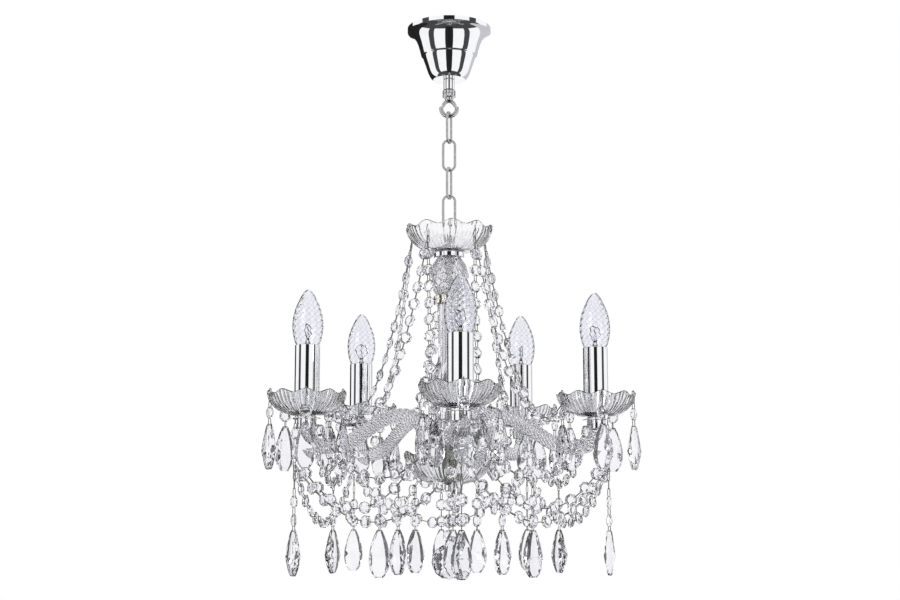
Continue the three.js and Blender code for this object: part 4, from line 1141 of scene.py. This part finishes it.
# %% Finishes for the solids that stay
KEPT = {"ceiling_strap": zinc_steel}
KEPT.update({f"lamp_holder_{arm}": holder_plastic for arm in range(1, ARM_COUNT + 1)})
for node, material in KEPT.items():
    for material_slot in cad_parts[node].material_slots:
        material_slot.material = material
print("kept:", sorted(KEPT))

# %% [markdown]
# ## Studio
# The light hangs over a pale floor in a room that is white to the camera, glass and metal.
# Glass and chrome only show their shape if there is something dark to reflect, so dark cards
# stand round them, as in a photographer's studio: some for mirrors only, and some for glass.

# %% Floor and cards
def level_disc(name, radius, height, corners):
    """A flat disc under the light, in metres."""
    bpy.ops.object.select_all(action="DESELECT")
    bpy.ops.mesh.primitive_circle_add(vertices=corners, radius=radius, fill_type="NGON",
                                      location=(0, 0, height))
    disc = bpy.context.active_object
    disc.name = name
    return disc


floor = level_disc("studio_floor", 6, -1.3, 96)
floor.data.materials.append(varied("pale_painted_floor", 400, ("#F2F2F2", "#F6F6F6"), (0.95, 1.0)))
floor.visible_glossy = False
floor.visible_transmission = False
floor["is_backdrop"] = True


def card_cloth(name, low, high):
    """Woven card seen at a steady grey, whatever light falls on it."""
    material = bpy.data.materials.new(name)
    tree = empty_tree(material)
    weave = add_node(tree, "ShaderNodeTexNoise", Scale=3.0)
    shade = add_node(tree, "ShaderNodeMapRange", {"Value": weave.outputs["Fac"]}, To_Min=low, To_Max=high)
    glow = add_node(tree, "ShaderNodeEmission", {"Strength": shade.outputs["Result"]},
                    Color=to_linear("#F6F6FC"))
    add_node(tree, "ShaderNodeOutputMaterial", {"Surface": glow.outputs[0]})
    return material


def place_card(card, cloth, unseen_by):
    """Makes a card that the camera doesn't see and that holds back no light."""
    card.data.materials.append(cloth)
    for ray in ("camera", "diffuse", "shadow", "volume_scatter", unseen_by):
        setattr(card, f"visible_{ray}", False)
    card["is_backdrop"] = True


black_cloth = card_cloth("black_card", 0.01, 0.03)
dark_cloth = card_cloth("dark_card", 0.05, 0.09)
grey_cloth = card_cloth("grey_card", 0.6, 0.7)
glass_cloth = card_cloth("card_behind_glass", 0.1, 0.16)
soft_cloth = card_cloth("card_under_glass", 0.2, 0.28)
CARD_DISTANCE = 3000.0
CARD_FOOT, CARD_HEAD = -7000, 4500
LOW_CARD_HEIGHT = -5
MIRROR_CARDS = [(-90, 15, black_cloth), (-158, 11, dark_cloth), (-22, 11, dark_cloth),
                (124, 26, black_cloth), (56, 20, grey_cloth)]
# The cards behind the glass leave the straight views from the four sides clear
GLASS_CARDS = [(turn, half_turn, glass_cloth)
               for turn, half_turn in ((57, 11), (123, 11), (202, 11), (255, 6), (285, 6), (338, 11))]
for use, unseen_by, tall_cards, low_radius, low_cloth in (
        ("mirror", "transmission", MIRROR_CARDS, 5.2, dark_cloth),
        ("glass", "glossy", GLASS_CARDS, 2.6, soft_cloth)):
    for number, (turn, half_turn, cloth) in enumerate(tall_cards):
        half = CARD_DISTANCE * tan(radians(half_turn))
        card = mesh_object(f"{use}_card_{number}", [
            (CARD_DISTANCE, -half, CARD_FOOT), (CARD_DISTANCE, half, CARD_FOOT),
            (CARD_DISTANCE, half, CARD_HEAD), (CARD_DISTANCE, -half, CARD_HEAD)], faces=[(0, 1, 2, 3)])
        place_card(turned_about_z(card, radians(turn)), cloth, unseen_by)
    place_card(level_disc(f"{use}_card_below", low_radius, LOW_CARD_HEIGHT, 64), low_cloth, unseen_by)

# %% Sky
world = bpy.data.worlds.new("white_room")
bpy.context.scene.world = world
tree = empty_tree(world)
rays = add_node(tree, "ShaderNodeLightPath")
seen = rays.outputs["Is Camera Ray"]
for ray in ("Is Glossy Ray", "Is Transmission Ray"):
    either = add_node(tree, "ShaderNodeMath", {0: seen, 1: rays.outputs[ray]}, operation="MAXIMUM")
    seen = either.outputs[0]
soft = add_node(tree, "ShaderNodeBackground", Color=to_linear("#F4F5F8"), Strength=0.75)
white = add_node(tree, "ShaderNodeBackground", Color=(1, 1, 1, 1), Strength=1.0)
sky = add_node(tree, "ShaderNodeMixShader", {0: seen, 1: soft.outputs[0], 2: white.outputs[0]})
add_node(tree, "ShaderNodeOutputWorld", {"Surface": sky.outputs[0]})

# %% [markdown]
# Two broad soft lamps, high on the left and low on the right, are all the rest of the light.
# They stay gentle, so that colours render as they are written.

# %% Lamps
LIT_POINT = Vector((0, 0, -0.4))
for name, place, size, watts in (("key_softbox", (-1.6, -1.8, 0.9), 1.2, 14),
                                 ("fill_softbox", (1.9, -1.2, -0.4), 1.0, 7)):
    lamp_data = bpy.data.lights.new(name, "AREA")
    lamp_data.size = size
    lamp_data.energy = watts
    lamp = new_object(name, lamp_data)
    lamp.location = place
    lamp.visible_glossy = False
    lamp.rotation_euler = (LIT_POINT - lamp.location).to_track_quat("-Z", "Y").to_euler()

# %% [markdown]
# ## Camera
# The photograph was taken a little below the middle of the light, looking slightly up, from
# about 1.7 m away. The lens is a short telephoto of 59 mm on a 36 mm wide picture.

# %% Camera and view
PICTURE_WIDTH = 900
FOCAL_PIXELS = 1478
LOOKING_UP = 8.73
camera_data = bpy.data.cameras.new("photo_camera")
camera_data.sensor_width = 36
camera_data.lens = camera_data.sensor_width * FOCAL_PIXELS / PICTURE_WIDTH
camera = new_object("photo_camera", camera_data)
camera.location = (0.001, -1.7, -0.59)
camera.rotation_euler = (radians(90 + LOOKING_UP), 0, 0)
bpy.context.scene.camera = camera
bpy.context.scene.view_settings.view_transform = "Standard"

# %% Sizes and the end
low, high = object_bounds()
print("visual box", [round(v, 4) for v in (*low, *high)])
